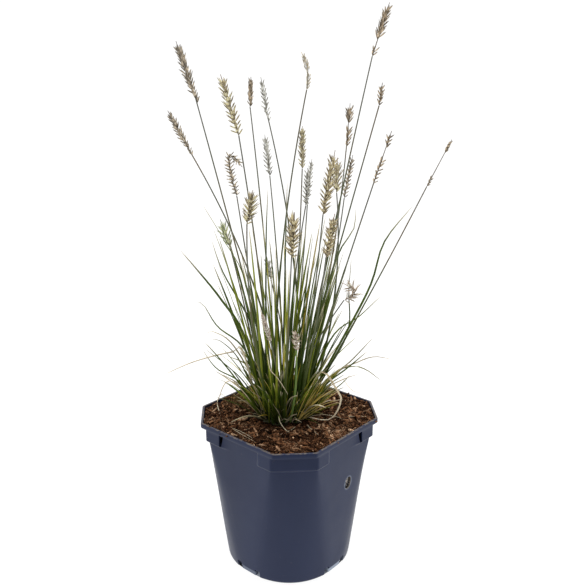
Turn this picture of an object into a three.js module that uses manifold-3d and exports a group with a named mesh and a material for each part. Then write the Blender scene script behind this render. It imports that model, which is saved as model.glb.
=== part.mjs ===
// Potted little bunny fountain grass: a square nursery pot with cut corners, the potting soil in it, one
// tuft of leaves on its crown, and 27 flower stalks that each carry a seed head.
// Millimetres, +Z up. The origin is the centre of the pot's underside, and the pot's flat sides face X and Y.
import * as THREE from "three";
import { mergeVertices } from "three/addons/utils/BufferGeometryUtils.js";
import Module from "manifold-3d";

const wasm = await Module();
wasm.setup();

// Pot: a nominal two litre container, 150 mm across its lip.
const POT_HEIGHT = 153;
const LIP = { half: 75, cut: 28, height: 5, wall: 2.4 };
const BODY_TOP = { half: 71.3, cut: 28 };
const BODY_FOOT = { half: 61, cut: 53.6 };
const BODY_BELLY = 0.18;
const BODY_BENDS = [50, 100];
const WALL = 1.5;
const COLLAR = { half: 72.9, cut: 30.6, bevel: 3 };
const PLAIN_COLLAR = { reach: 17, drop: 22 };
const SLOTTED_COLLAR = { reach: 20.5, drop: 20.5 };
const LIFTING_SLOT = { width: 4.6, height: 12, below: 1.2, foot: 2.6, slant: 1.6 };
const VENT = { width: 8.6, height: 13, across: 10.2, up: 95.2 };
const FLOOR = { top: 6, underside: 4, padRadius: 28, skirt: 4.5 };
const FOOT_RECESS = { length: 30, depth: 1.2, height: 4 };
const DRAIN = { width: 6, inset: 12, height: 7.5 };
const CORNER_STEPS = 4;

// Soil: loose bark and peat, heaped a little from the plant out to the rim.
const GAP = 0.3;
const SOIL_TOP = 146;
const SOIL_HEAP = 4.6;
const SOIL_RINGS = 8;
const SOIL_SECTORS = 32;

// Plant: its own frame has x across the view, y away from it, and is turned on the pot.
const FACING = THREE.MathUtils.degToRad(41.1);
const CROWN = { x: -7, y: 8, radius: 26, rise: 7, depth: 14 };
const FOOT_DEPTH = 6;
const STALK_SIDES = 5;
const STALK_STEPS = 6;
const STALK_RADIUS = { foot: 1.15, top: 0.75 };
const FLORET = { spacing: 4.7, columns: 4, out: 3.5, up: 5.6, core: 0.95, turn: 0.62 };
const HEAD_CLEARANCE = 5.4;

// Flower stalks. root: where the stalk leaves the crown. base: where the seed head starts. tip: from there to
// the head's tip. bend: the control point of a curved head, from its base. bow: how far the stalk's middle
// stands off its chord, across the view. bare: from where to where along the head no florets grow.
const STALKS = [
  { root: [-8, 4], base: [-81, -5, 456], tip: [-18, 0, 50], bow: 1 },
  { root: [-4, 1], base: [-87, -20, 415], tip: [-20, -2, 38], bow: 16 },
  { root: [-14, -4], base: [-41, -45, 427], tip: [-13, -10, 52], bow: 3 },
  { root: [-10, 20], base: [-37, 60, 445], tip: [1, 6, 28], bow: 2 },
  { root: [12, 12], base: [-19, 35, 436], tip: [-7, 4, 40], bow: 10 },
  { root: [-3, 25], base: [-19, 75, 377], tip: [-5, 9, 40], bow: 2 },
  { root: [-15, 12], base: [16, -15, 463], tip: [-6, -3, 38], bend: [4, 0, 20], bow: -8, bare: [0.3, 0.42] },
  { root: [5, 10], base: [75, 20, 491], tip: [16, 2, 52], bow: -1, bare: [0.12, 0.3] },
  { root: [1, 1], base: [78, -20, 450], tip: [2, -2, 19], bow: 0 },
  { root: [6, 0], base: [74, -40, 389], tip: [12, -8, 42], bow: 0, bare: [0.42, 0.66] },
  { root: [10, 7], base: [127, 5, 377], tip: [21, 3, 42], bow: 2, bare: [0.16, 0.72] },
  { root: [9, 22], base: [57, 65, 410], tip: [3, 7, 38], bow: 6, bare: [0.3, 0.5] },
  { root: [1, 7], base: [13, 30, 390], tip: [0, 4, 39], bow: 1 },
  { root: [-20, 13], base: [-49, 25, 365], tip: [6, -2, 27], bend: [-16, 0, 58], bow: 1 },
  { root: [-13, -13], base: [-33, -85, 360], tip: [6, -15, 30], bow: -8 },
  { root: [6, 15], base: [-18, 45, 277], tip: [-4, 7, 22], bow: 3 },
  { root: [-3, 20], base: [19, 58, 358], tip: [4, 8, 37], bow: 2 },
  { root: [-4, 7], base: [16, 5, 359], tip: [2, 0, 35], bow: -4 },
  { root: [9, -6], base: [30, -45, 360], tip: [9, -10, 56], bow: 1 },
  { root: [14, 5], base: [44, -1, 372], tip: [0, -2, 32], bow: 13 },
  { root: [11, 17], base: [54, 42, 360], tip: [8, 6, 41], bow: 4 },
  { root: [-5, -13], base: [3, -80, 331], tip: [2, -18, 41], bow: 0 },
  { root: [5, -10], base: [32, -68, 328], tip: [6, -14, 40], bow: 3 },
  { root: [-4, -5], base: [52, -12, 273], tip: [-3, 0, 17], bend: [20, 0, 8], bow: -8 },
  { root: [-25, 10], base: [-56, 20, 316], tip: [-9, 2, 27], bow: 3 },
  { root: [0, -11], base: [7, -62, 242], tip: [-1, -12, 23], bow: 3 },
  { root: [-9, -6], base: [-16, -48, 245], tip: [-7, -12, 31], bow: 3 },
];

// Leaves that stand clear of the rest, each by the points it passes through on its way out from the crown.
const OUTER_LEAVES = [
  { through: [[-38, -20, 286], [-57, -25, 332], [-76, -30, 368]], width: 2.6 },
  { through: [[-36, 16, 231], [-43, 19, 251], [-64, 22, 290], [-75, 25, 323]], width: 2.2 },
  { through: [[-42, -5, 234], [-63, -7, 272], [-86, -10, 304], [-100, -12, 322]], width: 3.2 },
  { through: [[-41, 8, 212], [-69, 8, 240], [-82, 8, 262], [-92, 8, 266]], width: 2 },
  { through: [[-54, 28, 210], [-75, 34, 225], [-85, 40, 221]], width: 1.8 },
  { through: [[-38, -8, 190], [-50, -12, 218], [-66, -16, 235], [-74, -20, 235]], width: 1.8 },
  { through: [[-43, -14, 221], [-54, -19, 224], [-88, -25, 217], [-118, -30, 205]], width: 2 },
  { through: [[-41, -16, 189], [-57, -26, 212], [-77, -36, 234]], width: 2 },
  { through: [[-47, 6, 181], [-71, 8, 196], [-85, 10, 215]], width: 2 },
  { through: [[-39, 24, 189], [-64, 34, 200]], width: 2 },
  { through: [[-56, 4, 184], [-70, 4, 165], [-71, 4, 156]], width: 1.6 },
  { through: [[45, 6, 210], [78, 10, 277], [91, 12, 322], [118, 14, 358]], width: 2.6 },
  { through: [[40, -14, 234], [66, -19, 259], [86, -24, 282]], width: 2.6 },
  { through: [[56, 20, 222], [59, 23, 273], [61, 26, 308]], width: 2.2 },
  { through: [[44, 20, 184], [69, 24, 196], [86, 27, 201], [106, 30, 197]], width: 1.6 },
  { through: [[44, 4, 190], [61, 0, 201], [75, -4, 200], [91, -8, 189]], width: 1.8 },
  { through: [[40, 22, 178], [63, 30, 195], [87, 40, 218]], width: 2 },
  { through: [[36, -8, 186], [55, -16, 206], [74, -30, 230]], width: 2 },
  { through: [[48, 22, 169], [64, 34, 179]], width: 2 },
  { through: [[24, 0, 230], [45, -3, 311], [60, -5, 339], [61, -8, 360]], width: 2.4 },
  { through: [[30, -14, 201], [46, -18, 185], [50, -22, 175], [40, -26, 158], [19, -30, 162]], width: 1.8 },
  { through: [[-21, 0, 318], [-18, -10, 381]], width: 2 },
  { through: [[-3, 16, 314], [-1, 20, 383]], width: 2 },
];

// The rest of the leaves: reach is a leaf's length, lean its slope off vertical at the crown and droop how much
// more it leans at its tip, both in degrees, and width its breadth.
const LEAF_KINDS = [
  { count: 40, reach: [120, 215], lean: [2, 19], droop: [2, 14], width: [2.2, 3], steps: 3, seed: 3 },
  { count: 44, reach: [50, 115], lean: [8, 40], droop: [4, 30], width: [2, 2.8], steps: 3, seed: 17 },
  { count: 22, reach: [40, 90], lean: [30, 52], droop: [25, 65], width: [1.6, 2.1], steps: 4, seed: 31 },
];
const LEAF_KEEL = 0.95;
const LEAF_TRIES = 60;

// A repeatable number from 0 to 1 for each set of keys.
function draw(...keys) {
  const mixed = Math.sin(keys.reduce((sum, key, place) => sum + key * [12.9898, 78.233, 37.719][place], 0));
  const spread = mixed * 43758.5453;
  return spread - Math.floor(spread);
}

const mix = (from, to, share) => from + (to - from) * share;

// A closed mesh from its points and its faces, each face a loop of point numbers.
function meshOf(points, faces) {
  const triangles = faces.flatMap((face) => face.slice(2).flatMap((_, i) => [face[0], face[i + 1], face[i + 2]]));
  return new THREE.BufferGeometry()
    .setAttribute("position", new THREE.Float32BufferAttribute(points.flatMap((p) => [p.x, p.y, p.z]), 3))
    .setIndex(triangles);
}

// Rings of points joined into one closed body. The last ring may be a single point.
function loft(rings) {
  const points = rings.flat();
  const count = rings[0].length;
  const faces = [[...Array(count).keys()].reverse()];
  for (let r = 0; r + 1 < rings.length; r++) {
    for (let i = 0; i < count; i++) {
      const low = r * count + i;
      const lowNext = r * count + ((i + 1) % count);
      if (rings[r + 1].length === 1) faces.push([low, lowNext, (r + 1) * count]);
      else faces.push([low, lowNext, lowNext + count], [low, lowNext + count, low + count]);
    }
  }
  if (rings.at(-1).length > 1) faces.push([...Array(count).keys()].map((i) => points.length - count + i));
  return meshOf(points, faces);
}

// Solids for cutting and joining.
function solidOf(geometry) {
  const bare = geometry.clone();
  for (const name of Object.keys(bare.attributes)) if (name !== "position") bare.deleteAttribute(name);
  const merged = mergeVertices(bare, 1e-4);
  return new wasm.Manifold(
    new wasm.Mesh({
      numProp: 3,
      vertProperties: new Float32Array(merged.attributes.position.array),
      triVerts: new Uint32Array(merged.index.array),
    }),
  );
}

function geometryOf(solid) {
  const mesh = solid.getMesh();
  return new THREE.BufferGeometry()
    .setAttribute("position", new THREE.Float32BufferAttribute(mesh.vertProperties, 3))
    .setIndex(new THREE.BufferAttribute(mesh.triVerts, 1));
}

function boxSolid(width, depth, height, centre, turn = 0) {
  const box = new THREE.BoxGeometry(width, depth, height).rotateZ(turn);
  return solidOf(box.translate(...centre));
}

const joined = (solids) => solids.reduce((sum, solid) => sum.add(solid));

// The biggest body of a solid, without loose scraps.
const withoutScraps = (solid) => solid.decompose().sort((a, b) => b.volume() - a.volume())[0];

// One level of the pot: a square of half side `half` whose corners are cut over `cut`, straight or round.
function potRing({ half, cut }, round, steps) {
  const ring = [];
  for (let corner = 0; corner < 4; corner++) {
    for (let step = 0; step <= steps; step++) {
      const share = step / steps;
      const angle = (share * Math.PI) / 2;
      const [along, across] = round ? [Math.cos(angle), Math.sin(angle)] : [1 - share, share];
      const point = new THREE.Vector3(half - cut + cut * along, half - cut + cut * across, 0);
      ring.push(point.applyAxisAngle(new THREE.Vector3(0, 0, 1), (corner * Math.PI) / 2));
    }
  }
  return ring;
}

const atHeight = (ring, z) => ring.map((point) => point.clone().setZ(z));
const movedIn = ({ half, cut }, inset) => ({ half: half - inset, cut: cut - inset * (2 - Math.SQRT2) });

// The body between two levels, moved in by `inset`: cut corners at the top that belly out into round ones.
function bodySolid(inset, bottom, top) {
  const upper = potRing(movedIn(BODY_TOP, inset), false, CORNER_STEPS);
  const lower = potRing(movedIn(BODY_FOOT, inset), true, CORNER_STEPS);
  const bends = BODY_BENDS.filter((z) => z > bottom && z < top);
  const rings = [bottom, ...bends, top].map((z) => {
    const share = z / (POT_HEIGHT - LIP.height);
    const blend = share + BODY_BELLY * share * (1 - share);
    const flat = mix(BODY_FOOT.half, BODY_TOP.half, share) - inset;
    return atHeight(lower.map((point, i) => point.clone().lerp(upper[i], blend).clampScalar(-flat, flat)), z);
  });
  return solidOf(loft(rings));
}

// The stepped-out collar under the lip at each corner. The left and right corners have the slotted one.
function collarSolid(inset, top) {
  const corners = [0, 1, 2, 3].map((corner) => {
    const { reach, drop } = corner % 2 ? PLAIN_COLLAR : SLOTTED_COLLAR;
    const low = POT_HEIGHT - drop;
    const full = potRing(movedIn(COLLAR, inset), false, 1);
    const narrow = potRing(movedIn(COLLAR, inset + COLLAR.bevel), false, 1);
    const band = solidOf(loft([atHeight(narrow, low), atHeight(full, low + COLLAR.bevel), atHeight(full, top)]));
    const size = 2 * COLLAR.half;
    const middle = (size - COLLAR.cut - reach) / Math.SQRT2 + size / 2;
    const angle = Math.PI / 4 + (corner * Math.PI) / 2;
    const place = [middle * Math.cos(angle), middle * Math.sin(angle), top];
    return band.intersect(boxSolid(size, size * 2, size, place, angle));
  });
  return joined(corners);
}

function lipSolid() {
  const side = potRing(LIP, false, 1);
  const shoulder = POT_HEIGHT - LIP.height;
  return solidOf(
    loft([
      atHeight(potRing(movedIn(LIP, 0.8), false, 1), shoulder),
      atHeight(side, shoulder + 1),
      atHeight(side, POT_HEIGHT - 0.8),
      atHeight(potRing(movedIn(LIP, 0.8), false, 1), POT_HEIGHT),
    ]),
  );
}

// The space inside the lip, which steps out above the wall.
function lipMouth(inset, top) {
  const ring = potRing(movedIn(LIP, LIP.wall + inset), false, 1);
  const step = POT_HEIGHT - LIP.height + 1 + inset;
  return solidOf(loft([atHeight(ring, step), atHeight(ring, top)]));
}

// The narrow slanted openings where the long collars end, two on each of the slotted corners.
function liftingSlots() {
  const { width, height, below, foot, slant } = LIFTING_SLOT;
  const top = POT_HEIGHT - LIP.height - below;
  const along = COLLAR.half - COLLAR.cut - SLOTTED_COLLAR.reach;
  return [0, 1].flatMap((pair) =>
    [-1, 1].map((side) => {
      const corners = [
        [-width / 2, 0],
        [side * slant - foot / 2, -height],
        [side * slant + foot / 2, -height],
        [width / 2, 0],
      ];
      const outline = new THREE.Shape(corners.map((corner) => new THREE.Vector2(...corner)));
      const cutter = new THREE.ExtrudeGeometry(outline, { depth: 8, bevelEnabled: false });
      cutter.rotateX(Math.PI / 2).rotateZ(Math.PI / 2);
      cutter.translate(COLLAR.half - 5, side * along, top);
      return solidOf(cutter.rotateZ(side > 0 ? pair * Math.PI : Math.PI / 2 + pair * Math.PI));
    }),
  );
}

// One small upright hole in the +X side.
function ventSolid() {
  const outline = new THREE.Shape();
  const straight = VENT.height / 2 - VENT.width / 2;
  outline.absarc(0, straight, VENT.width / 2, 0, Math.PI);
  outline.absarc(0, -straight, VENT.width / 2, Math.PI, 2 * Math.PI);
  const cutter = new THREE.ExtrudeGeometry(outline, { depth: 12, bevelEnabled: false, curveSegments: 5 });
  cutter.rotateX(Math.PI / 2).rotateZ(Math.PI / 2);
  return solidOf(cutter.translate(BODY_TOP.half - 9, VENT.across, VENT.up));
}

// The underside: a hollow round a flat centre pad, a shallow recess along each side, and eight drains.
function undersideCutters() {
  const hollow = bodySolid(FLOOR.skirt, -2, FLOOR.underside);
  const pad = solidOf(
    new THREE.CylinderGeometry(FLOOR.padRadius, FLOOR.padRadius, 12, 20).rotateX(Math.PI / 2),
  );
  const cutters = [hollow.subtract(pad)];
  for (let side = 0; side < 4; side++) {
    const angle = (side * Math.PI) / 2;
    const outer = BODY_FOOT.half - FOOT_RECESS.depth + 10;
    const recess = boxSolid(20, FOOT_RECESS.length, FOOT_RECESS.height * 2, [outer, 0, 0]);
    cutters.push(recess.rotate([0, 0, (angle * 180) / Math.PI]));
    for (const end of [-1, 1]) {
      const along = (end * (FOOT_RECESS.length - DRAIN.width)) / 2;
      const inner = BODY_FOOT.half - DRAIN.inset + 10;
      const drain = boxSolid(20, DRAIN.width, DRAIN.height * 2, [inner, along, 0]);
      cutters.push(drain.rotate([0, 0, (angle * 180) / Math.PI]));
    }
  }
  return cutters;
}

function potGeometry() {
  const shoulder = POT_HEIGHT - LIP.height;
  const outside = joined([bodySolid(0, 0, shoulder + 1), collarSolid(0, shoulder + 1), lipSolid()]);
  const inside = bodySolid(WALL, FLOOR.top, POT_HEIGHT + 4).add(collarSolid(WALL, POT_HEIGHT + 4));
  const cutters = [inside, lipMouth(0, POT_HEIGHT + 4), ...undersideCutters(), ...liftingSlots(), ventSolid()];
  return geometryOf(withoutScraps(cutters.reduce((pot, cutter) => pot.subtract(cutter), outside)));
}

// The soil's height at a point of the pot: a dish about the plant's crown, with three waves of clods outside it.
function soilHeight(x, y) {
  const waves =
    1.5 * Math.sin(x * 0.21 + 1.7 * Math.sin(y * 0.13)) +
    1.1 * Math.sin(y * 0.33 + 0.9 * Math.sin(x * 0.27)) +
    0.8 * Math.sin((x + y) * 0.47);
  const [crownX, crownY] = turned(CROWN.x, CROWN.y);
  const away = Math.hypot(x - crownX, y - crownY) - CROWN.radius;
  const loose = THREE.MathUtils.clamp((away - 4) / 18, 0, 1);
  return SOIL_TOP + SOIL_HEAP * THREE.MathUtils.smoothstep(away, 2, 30) + 0.5 * waves * loose;
}

// A point of the plant's own frame, seen from the pot's.
function turned(x, y) {
  return [x * Math.cos(FACING) - y * Math.sin(FACING), x * Math.sin(FACING) + y * Math.cos(FACING)];
}

// A drum with the soil's top surface, wider than the pot.
function terrainSolid() {
  const radius = LIP.half * 1.25;
  const points = [new THREE.Vector3(0, 0, soilHeight(0, 0))];
  for (let ring = 1; ring <= SOIL_RINGS; ring++) {
    for (let sector = 0; sector < SOIL_SECTORS; sector++) {
      const angle = ((sector + (ring % 2) / 2) * 2 * Math.PI) / SOIL_SECTORS;
      const [x, y] = [Math.cos(angle), Math.sin(angle)].map((c) => (c * radius * ring) / SOIL_RINGS);
      points.push(new THREE.Vector3(x, y, soilHeight(x, y)));
    }
  }
  const rim = points.length - SOIL_SECTORS;
  const faces = [];
  const at = (ring, sector) => 1 + (ring - 1) * SOIL_SECTORS + (sector % SOIL_SECTORS);
  for (let sector = 0; sector < SOIL_SECTORS; sector++) {
    faces.push([0, at(1, sector), at(1, sector + 1)]);
    for (let ring = 1; ring < SOIL_RINGS; ring++) {
      const shift = ring % 2;
      const [a, b] = [at(ring, sector), at(ring, sector + 1)];
      const [c, d] = [at(ring + 1, sector + shift), at(ring + 1, sector + shift + 1)];
      if (shift) faces.push([a, c, b], [b, c, d]);
      else faces.push([a, c, d], [a, d, b]);
    }
    points.push(points[rim + sector].clone().setZ(-5));
    const [low, lowNext] = [rim + SOIL_SECTORS + sector, rim + SOIL_SECTORS + ((sector + 1) % SOIL_SECTORS)];
    faces.push([rim + sector, low, lowNext], [rim + sector, lowNext, rim + ((sector + 1) % SOIL_SECTORS)]);
  }
  faces.push([...Array(SOIL_SECTORS).keys()].reverse().map((sector) => rim + SOIL_SECTORS + sector));
  return solidOf(meshOf(points, faces));
}

// The crown's outline as a lathe profile, grown by `clearance`, and open to the sky where `tall` says so.
function crownSolid(clearance, tall) {
  const { radius, rise, depth } = CROWN;
  const wide = radius + clearance;
  const top = tall
    ? [new THREE.Vector2(wide, 40), new THREE.Vector2(0, 40)]
    : [new THREE.Vector2(radius - 2, 2), new THREE.Vector2(radius * 0.6, rise), new THREE.Vector2(0, rise + 1)];
  const profile = [
    new THREE.Vector2(0, -depth - clearance),
    new THREE.Vector2(wide - 7, -depth - clearance),
    new THREE.Vector2(wide, -5),
    ...top,
  ];
  return solidOf(new THREE.LatheGeometry(profile, 16).rotateX(Math.PI / 2)).translate([CROWN.x, CROWN.y, SOIL_TOP]);
}

function soilGeometry() {
  const body = bodySolid(WALL + GAP, FLOOR.top + GAP, POT_HEIGHT);
  const filled = joined([body, collarSolid(WALL + GAP, POT_HEIGHT), lipMouth(GAP, POT_HEIGHT)]);
  const seat = crownSolid(GAP, true).rotate([0, 0, (FACING * 180) / Math.PI]);
  return geometryOf(withoutScraps(filled.intersect(terrainSolid()).subtract(seat)));
}

// A stalk's centreline, from its foot in the crown to its seed head.
function stalkCurve({ root, base, bow }) {
  const foot = new THREE.Vector3(...root, SOIL_TOP - FOOT_DEPTH);
  const end = new THREE.Vector3(...base);
  const control = foot.clone().lerp(end, 0.5);
  control.x += 2 * bow;
  control.y += (foot.y - end.y) * 0.12;
  return new THREE.QuadraticBezierCurve3(foot, control, end);
}

// Sides and normals carried along a line of points without twisting.
function carriedFrames(points, firstSide) {
  let side = firstSide.clone();
  return points.map((point, i) => {
    const tangent = points[Math.min(i + 1, points.length - 1)].clone().sub(points[Math.max(i - 1, 0)]).normalize();
    side = side.clone().addScaledVector(tangent, -side.dot(tangent)).normalize();
    return { point, tangent, side, normal: new THREE.Vector3().crossVectors(tangent, side) };
  });
}

// A round rod along a curve, with flat ends.
function rodGeometry(curve, steps, radiusAt, sides) {
  const frames = carriedFrames(curve.getSpacedPoints(steps), new THREE.Vector3(1, 0, 0));
  const rings = frames.map(({ point, side, normal }, i) =>
    [...Array(sides).keys()].map((k) => {
      const angle = (k * 2 * Math.PI) / sides;
      const radius = radiusAt(i / steps);
      return point
        .clone()
        .addScaledVector(side, radius * Math.cos(angle))
        .addScaledVector(normal, radius * Math.sin(angle));
    }),
  );
  return loft(rings);
}

// The line that a seed head follows from its base. It starts clear of the stalk's end, also where the two bend.
function headCurve({ tip, bend, curve }) {
  const end = new THREE.Vector3(...tip);
  const control = bend ? new THREE.Vector3(...bend) : end.clone().multiplyScalar(0.5);
  const kink = curve.getTangent(1).angleTo(control);
  const start = control.clone().setLength(GAP + FLORET.core * Math.sin(kink));
  return new THREE.QuadraticBezierCurve3(start, control, end);
}

// A seed head: a slim core whose every cell is drawn out into a pointed floret, in columns that wind round it.
function headGeometry(curve, bare = [1, 1]) {
  const length = curve.getLength();
  const levels = Math.max(3, Math.round(length / FLORET.spacing));
  const frames = carriedFrames(curve.getSpacedPoints(levels), new THREE.Vector3(1, 0, 0));
  const { columns } = FLORET;
  const around = ({ point, side, normal }, radius, place) => {
    const angle = (place * 2 * Math.PI) / columns;
    return point
      .clone()
      .addScaledVector(side, radius * Math.cos(angle))
      .addScaledVector(normal, radius * Math.sin(angle));
  };
  const points = [];
  const faces = [[...Array(columns).keys()].reverse()];
  frames.slice(0, -1).forEach((frame, level) => {
    const share = level / levels;
    for (let k = 0; k < columns; k++) {
      points.push(around(frame, mix(FLORET.core, 0.5, share), k + level * FLORET.turn));
    }
  });
  const summit = points.length;
  points.push(frames.at(-1).point);
  for (let level = 0; level + 2 < frames.length; level++) {
    const share = (level + 0.5) / levels;
    const isBare = share > bare[0] && share < bare[1];
    const isSparse = share <= bare[0] && bare[0] < 1;
    const fullness = Math.min(1, 0.62 + 1.6 * share) * (1 - 0.55 * share);
    for (let k = 0; k < columns; k++) {
      const next = (k + 1) % columns;
      const low = [level * columns + k, level * columns + next];
      const high = low.map((corner) => corner + columns);
      const loop = [low[0], low[1], high[1], high[0]];
      if (isBare || (isSparse && (k + level) % 2)) {
        faces.push(loop);
        continue;
      }
      const place = k + 0.5 + (level + 0.5) * FLORET.turn;
      const apex = around(frames[level], FLORET.core + FLORET.out * 1.25 * fullness, place);
      apex.addScaledVector(frames[level].tangent, FLORET.spacing / 2 + FLORET.up * mix(1, 0.8, share));
      points.push(apex);
      loop.forEach((corner, i) => faces.push([corner, loop[(i + 1) % 4], points.length - 1]));
    }
  }
  const last = (frames.length - 2) * columns;
  for (let k = 0; k < columns; k++) faces.push([last + k, last + ((k + 1) % columns), summit]);
  return meshOf(points, faces);
}

// A leaf blade along its points: flat above, with a keel below, narrow at both ends and drawn to a point.
function leafGeometry(points, width, face) {
  const frames = carriedFrames(points, new THREE.Vector3(-Math.sin(face), Math.cos(face), 0));
  const rings = frames.slice(0, -1).map(({ point, side, normal }, i) => {
    const share = i / (points.length - 1);
    const half = (width / 2) * leafTaper(share);
    const keel = LEAF_KEEL * mix(1, 0.7, share);
    return [
      point.clone().addScaledVector(side, half),
      point.clone().addScaledVector(normal, keel),
      point.clone().addScaledVector(side, -half),
    ];
  });
  return loft([...rings, [points.at(-1)]]);
}

// A leaf's breadth along its length, as a share of its greatest.
const leafTaper = (share) => Math.min(1, 0.72 + share) * Math.sqrt(Math.max(0, 1 - share ** 2.2));

// The distance between a point and a line of points.
function distanceTo(point, line) {
  const segment = new THREE.Line3();
  const nearest = new THREE.Vector3();
  let least = Infinity;
  for (let i = 0; i + 1 < line.length; i++) {
    segment.set(line[i], line[i + 1]).closestPointToPoint(point, true, nearest);
    least = Math.min(least, nearest.distanceTo(point));
  }
  return least;
}

// Whether a leaf keeps off the stalks, the seed heads, the soil and the pot's lip.
function isClear(curve, width, obstacles) {
  const samples = curve.getSpacedPoints(Math.ceil(curve.getLength() / 3));
  return samples.every((point, i) => {
    const half = (width / 2) * leafTaper(i / (samples.length - 1));
    const [x, y] = turned(point.x, point.y);
    const beyondCrown = Math.hypot(point.x - CROWN.x, point.y - CROWN.y) > CROWN.radius - 2;
    if (beyondCrown && point.z < soilHeight(x, y) + 1.6) return false;
    if (Math.max(Math.abs(x), Math.abs(y)) > LIP.half - 8 && point.z < POT_HEIGHT + 2.5) return false;
    if (point.z < SOIL_TOP + 4) return true;
    return obstacles.every(({ line, radius }) => distanceTo(point, line) > radius + half);
  });
}

// Leaves that are placed by hand: only the foot moves until the leaf is clear.
function outerLeaves(obstacles) {
  return OUTER_LEAVES.flatMap(({ through, width }, i) => {
    const points = through.map((p) => new THREE.Vector3(...p));
    const out = new THREE.Vector2(points[0].x - CROWN.x, points[0].y - CROWN.y).angle();
    for (let attempt = 0; attempt < LEAF_TRIES; attempt++) {
      const angle = out + (draw(i, attempt, 1) - 0.5) * 1.3;
      const radius = CROWN.radius * mix(0.5, 0.86, draw(i, attempt, 2));
      const nudge = (draw(i, attempt, 3) - 0.5) * 0.5 * attempt;
      const foot = new THREE.Vector3(
        CROWN.x + radius * Math.cos(angle),
        CROWN.y + radius * Math.sin(angle),
        SOIL_TOP - FOOT_DEPTH + 2,
      );
      const shifted = points.map((p) => p.clone().setY(p.y + nudge));
      const curve = new THREE.CatmullRomCurve3([foot, ...shifted], false, "catmullrom", 0.5);
      if (isClear(curve, width, obstacles)) return [{ curve, width, steps: 2 + 2 * points.length, face: out + 0.4 }];
    }
    return [];
  });
}

// Leaves that are placed by rule, in a spiral over the crown, each drawn again until it is clear.
function innerLeaves(obstacles) {
  return LEAF_KINDS.flatMap(({ count, reach, lean, droop, width, steps, seed }) =>
    [...Array(count).keys()].flatMap((i) => {
      for (let attempt = 0; attempt < LEAF_TRIES; attempt++) {
        const pick = (key, [low, high]) => mix(low, high, draw(seed + i, attempt, key));
        const angle = i * 2.39996 + 0.9 * draw(seed + i, attempt, 1);
        const radius = CROWN.radius * 0.88 * Math.sqrt((i + draw(seed + i, attempt, 2)) / count);
        const foot = new THREE.Vector3(
          CROWN.x + radius * Math.cos(angle),
          CROWN.y + radius * Math.sin(angle),
          SOIL_TOP - FOOT_DEPTH + 2,
        );
        const heading = angle + pick(3, [-0.7, 0.7]);
        const slope = THREE.MathUtils.degToRad(pick(4, lean) * mix(0.5, 1, radius / CROWN.radius));
        const bend = THREE.MathUtils.degToRad(pick(5, droop));
        const length = pick(6, reach);
        const outward = new THREE.Vector3(Math.cos(heading), Math.sin(heading), 0);
        const step = (tilt) =>
          outward.clone().multiplyScalar(Math.sin(tilt)).setZ(Math.cos(tilt)).multiplyScalar(length / 2);
        const middle = foot.clone().add(step(slope));
        const curve = new THREE.QuadraticBezierCurve3(foot, middle, middle.clone().add(step(slope + bend)));
        const breadth = pick(7, width);
        const face = heading + pick(8, [-1.2, 1.2]);
        if (isClear(curve, breadth, obstacles)) return [{ curve, width: breadth, steps, face }];
      }
      return [];
    }),
  );
}

// The tuft: the crown with every leaf fused to it, and a plain hole for each stalk.
function tuftGeometry(stalks) {
  const obstacles = stalks.flatMap(({ curve, base, axis }) => [
    { line: curve.getSpacedPoints(16), radius: STALK_RADIUS.foot + 0.7 },
    { line: axis.getSpacedPoints(4).map((p) => p.add(new THREE.Vector3(...base))), radius: HEAD_CLEARANCE },
  ]);
  const leaves = [...outerLeaves(obstacles), ...innerLeaves(obstacles)];
  const solids = leaves.map(({ curve, width, steps, face }) =>
    solidOf(leafGeometry(curve.getSpacedPoints(steps), width, face)),
  );
  const sleeves = stalks.map(({ curve }) => {
    const radiusAt = (share) => mix(STALK_RADIUS.foot, STALK_RADIUS.top, share) + GAP;
    return solidOf(rodGeometry(new THREE.LineCurve3(...sleeveEnds(curve)), 1, radiusAt, STALK_SIDES)).add(
      solidOf(rodGeometry(curve, STALK_STEPS, radiusAt, STALK_SIDES)),
    );
  });
  const tuft = wasm.Manifold.union([crownSolid(0, false), ...solids]);
  return geometryOf(withoutScraps(tuft.subtract(wasm.Manifold.union(sleeves))));
}

// The short stretch below a stalk's foot that keeps the foot off the bottom of its hole.
function sleeveEnds(curve) {
  const foot = curve.getPoint(0);
  const tangent = curve.getTangent(0);
  return [foot.clone().addScaledVector(tangent, -GAP), foot.clone().addScaledVector(tangent, 1)];
}

const FINISHES = {
  pot: new THREE.MeshStandardMaterial({ color: 0x3d4356, roughness: 0.42, metalness: 0 }),
  soil: new THREE.MeshStandardMaterial({ color: 0x5b3a26, roughness: 0.95, metalness: 0 }),
  leaf: new THREE.MeshStandardMaterial({ color: 0x5c7a33, roughness: 0.55, metalness: 0 }),
  stalk: new THREE.MeshStandardMaterial({ color: 0x7b8268, roughness: 0.6, metalness: 0 }),
  head: new THREE.MeshStandardMaterial({ color: 0xa58d68, roughness: 0.8, metalness: 0 }),
};

function named(name, geometry, finish) {
  const mesh = new THREE.Mesh(geometry, FINISHES[finish]);
  mesh.name = name;
  return mesh;
}

const grass = new THREE.Group();
grass.add(named("pot", potGeometry(), "pot"), named("soil", soilGeometry(), "soil"));

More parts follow.
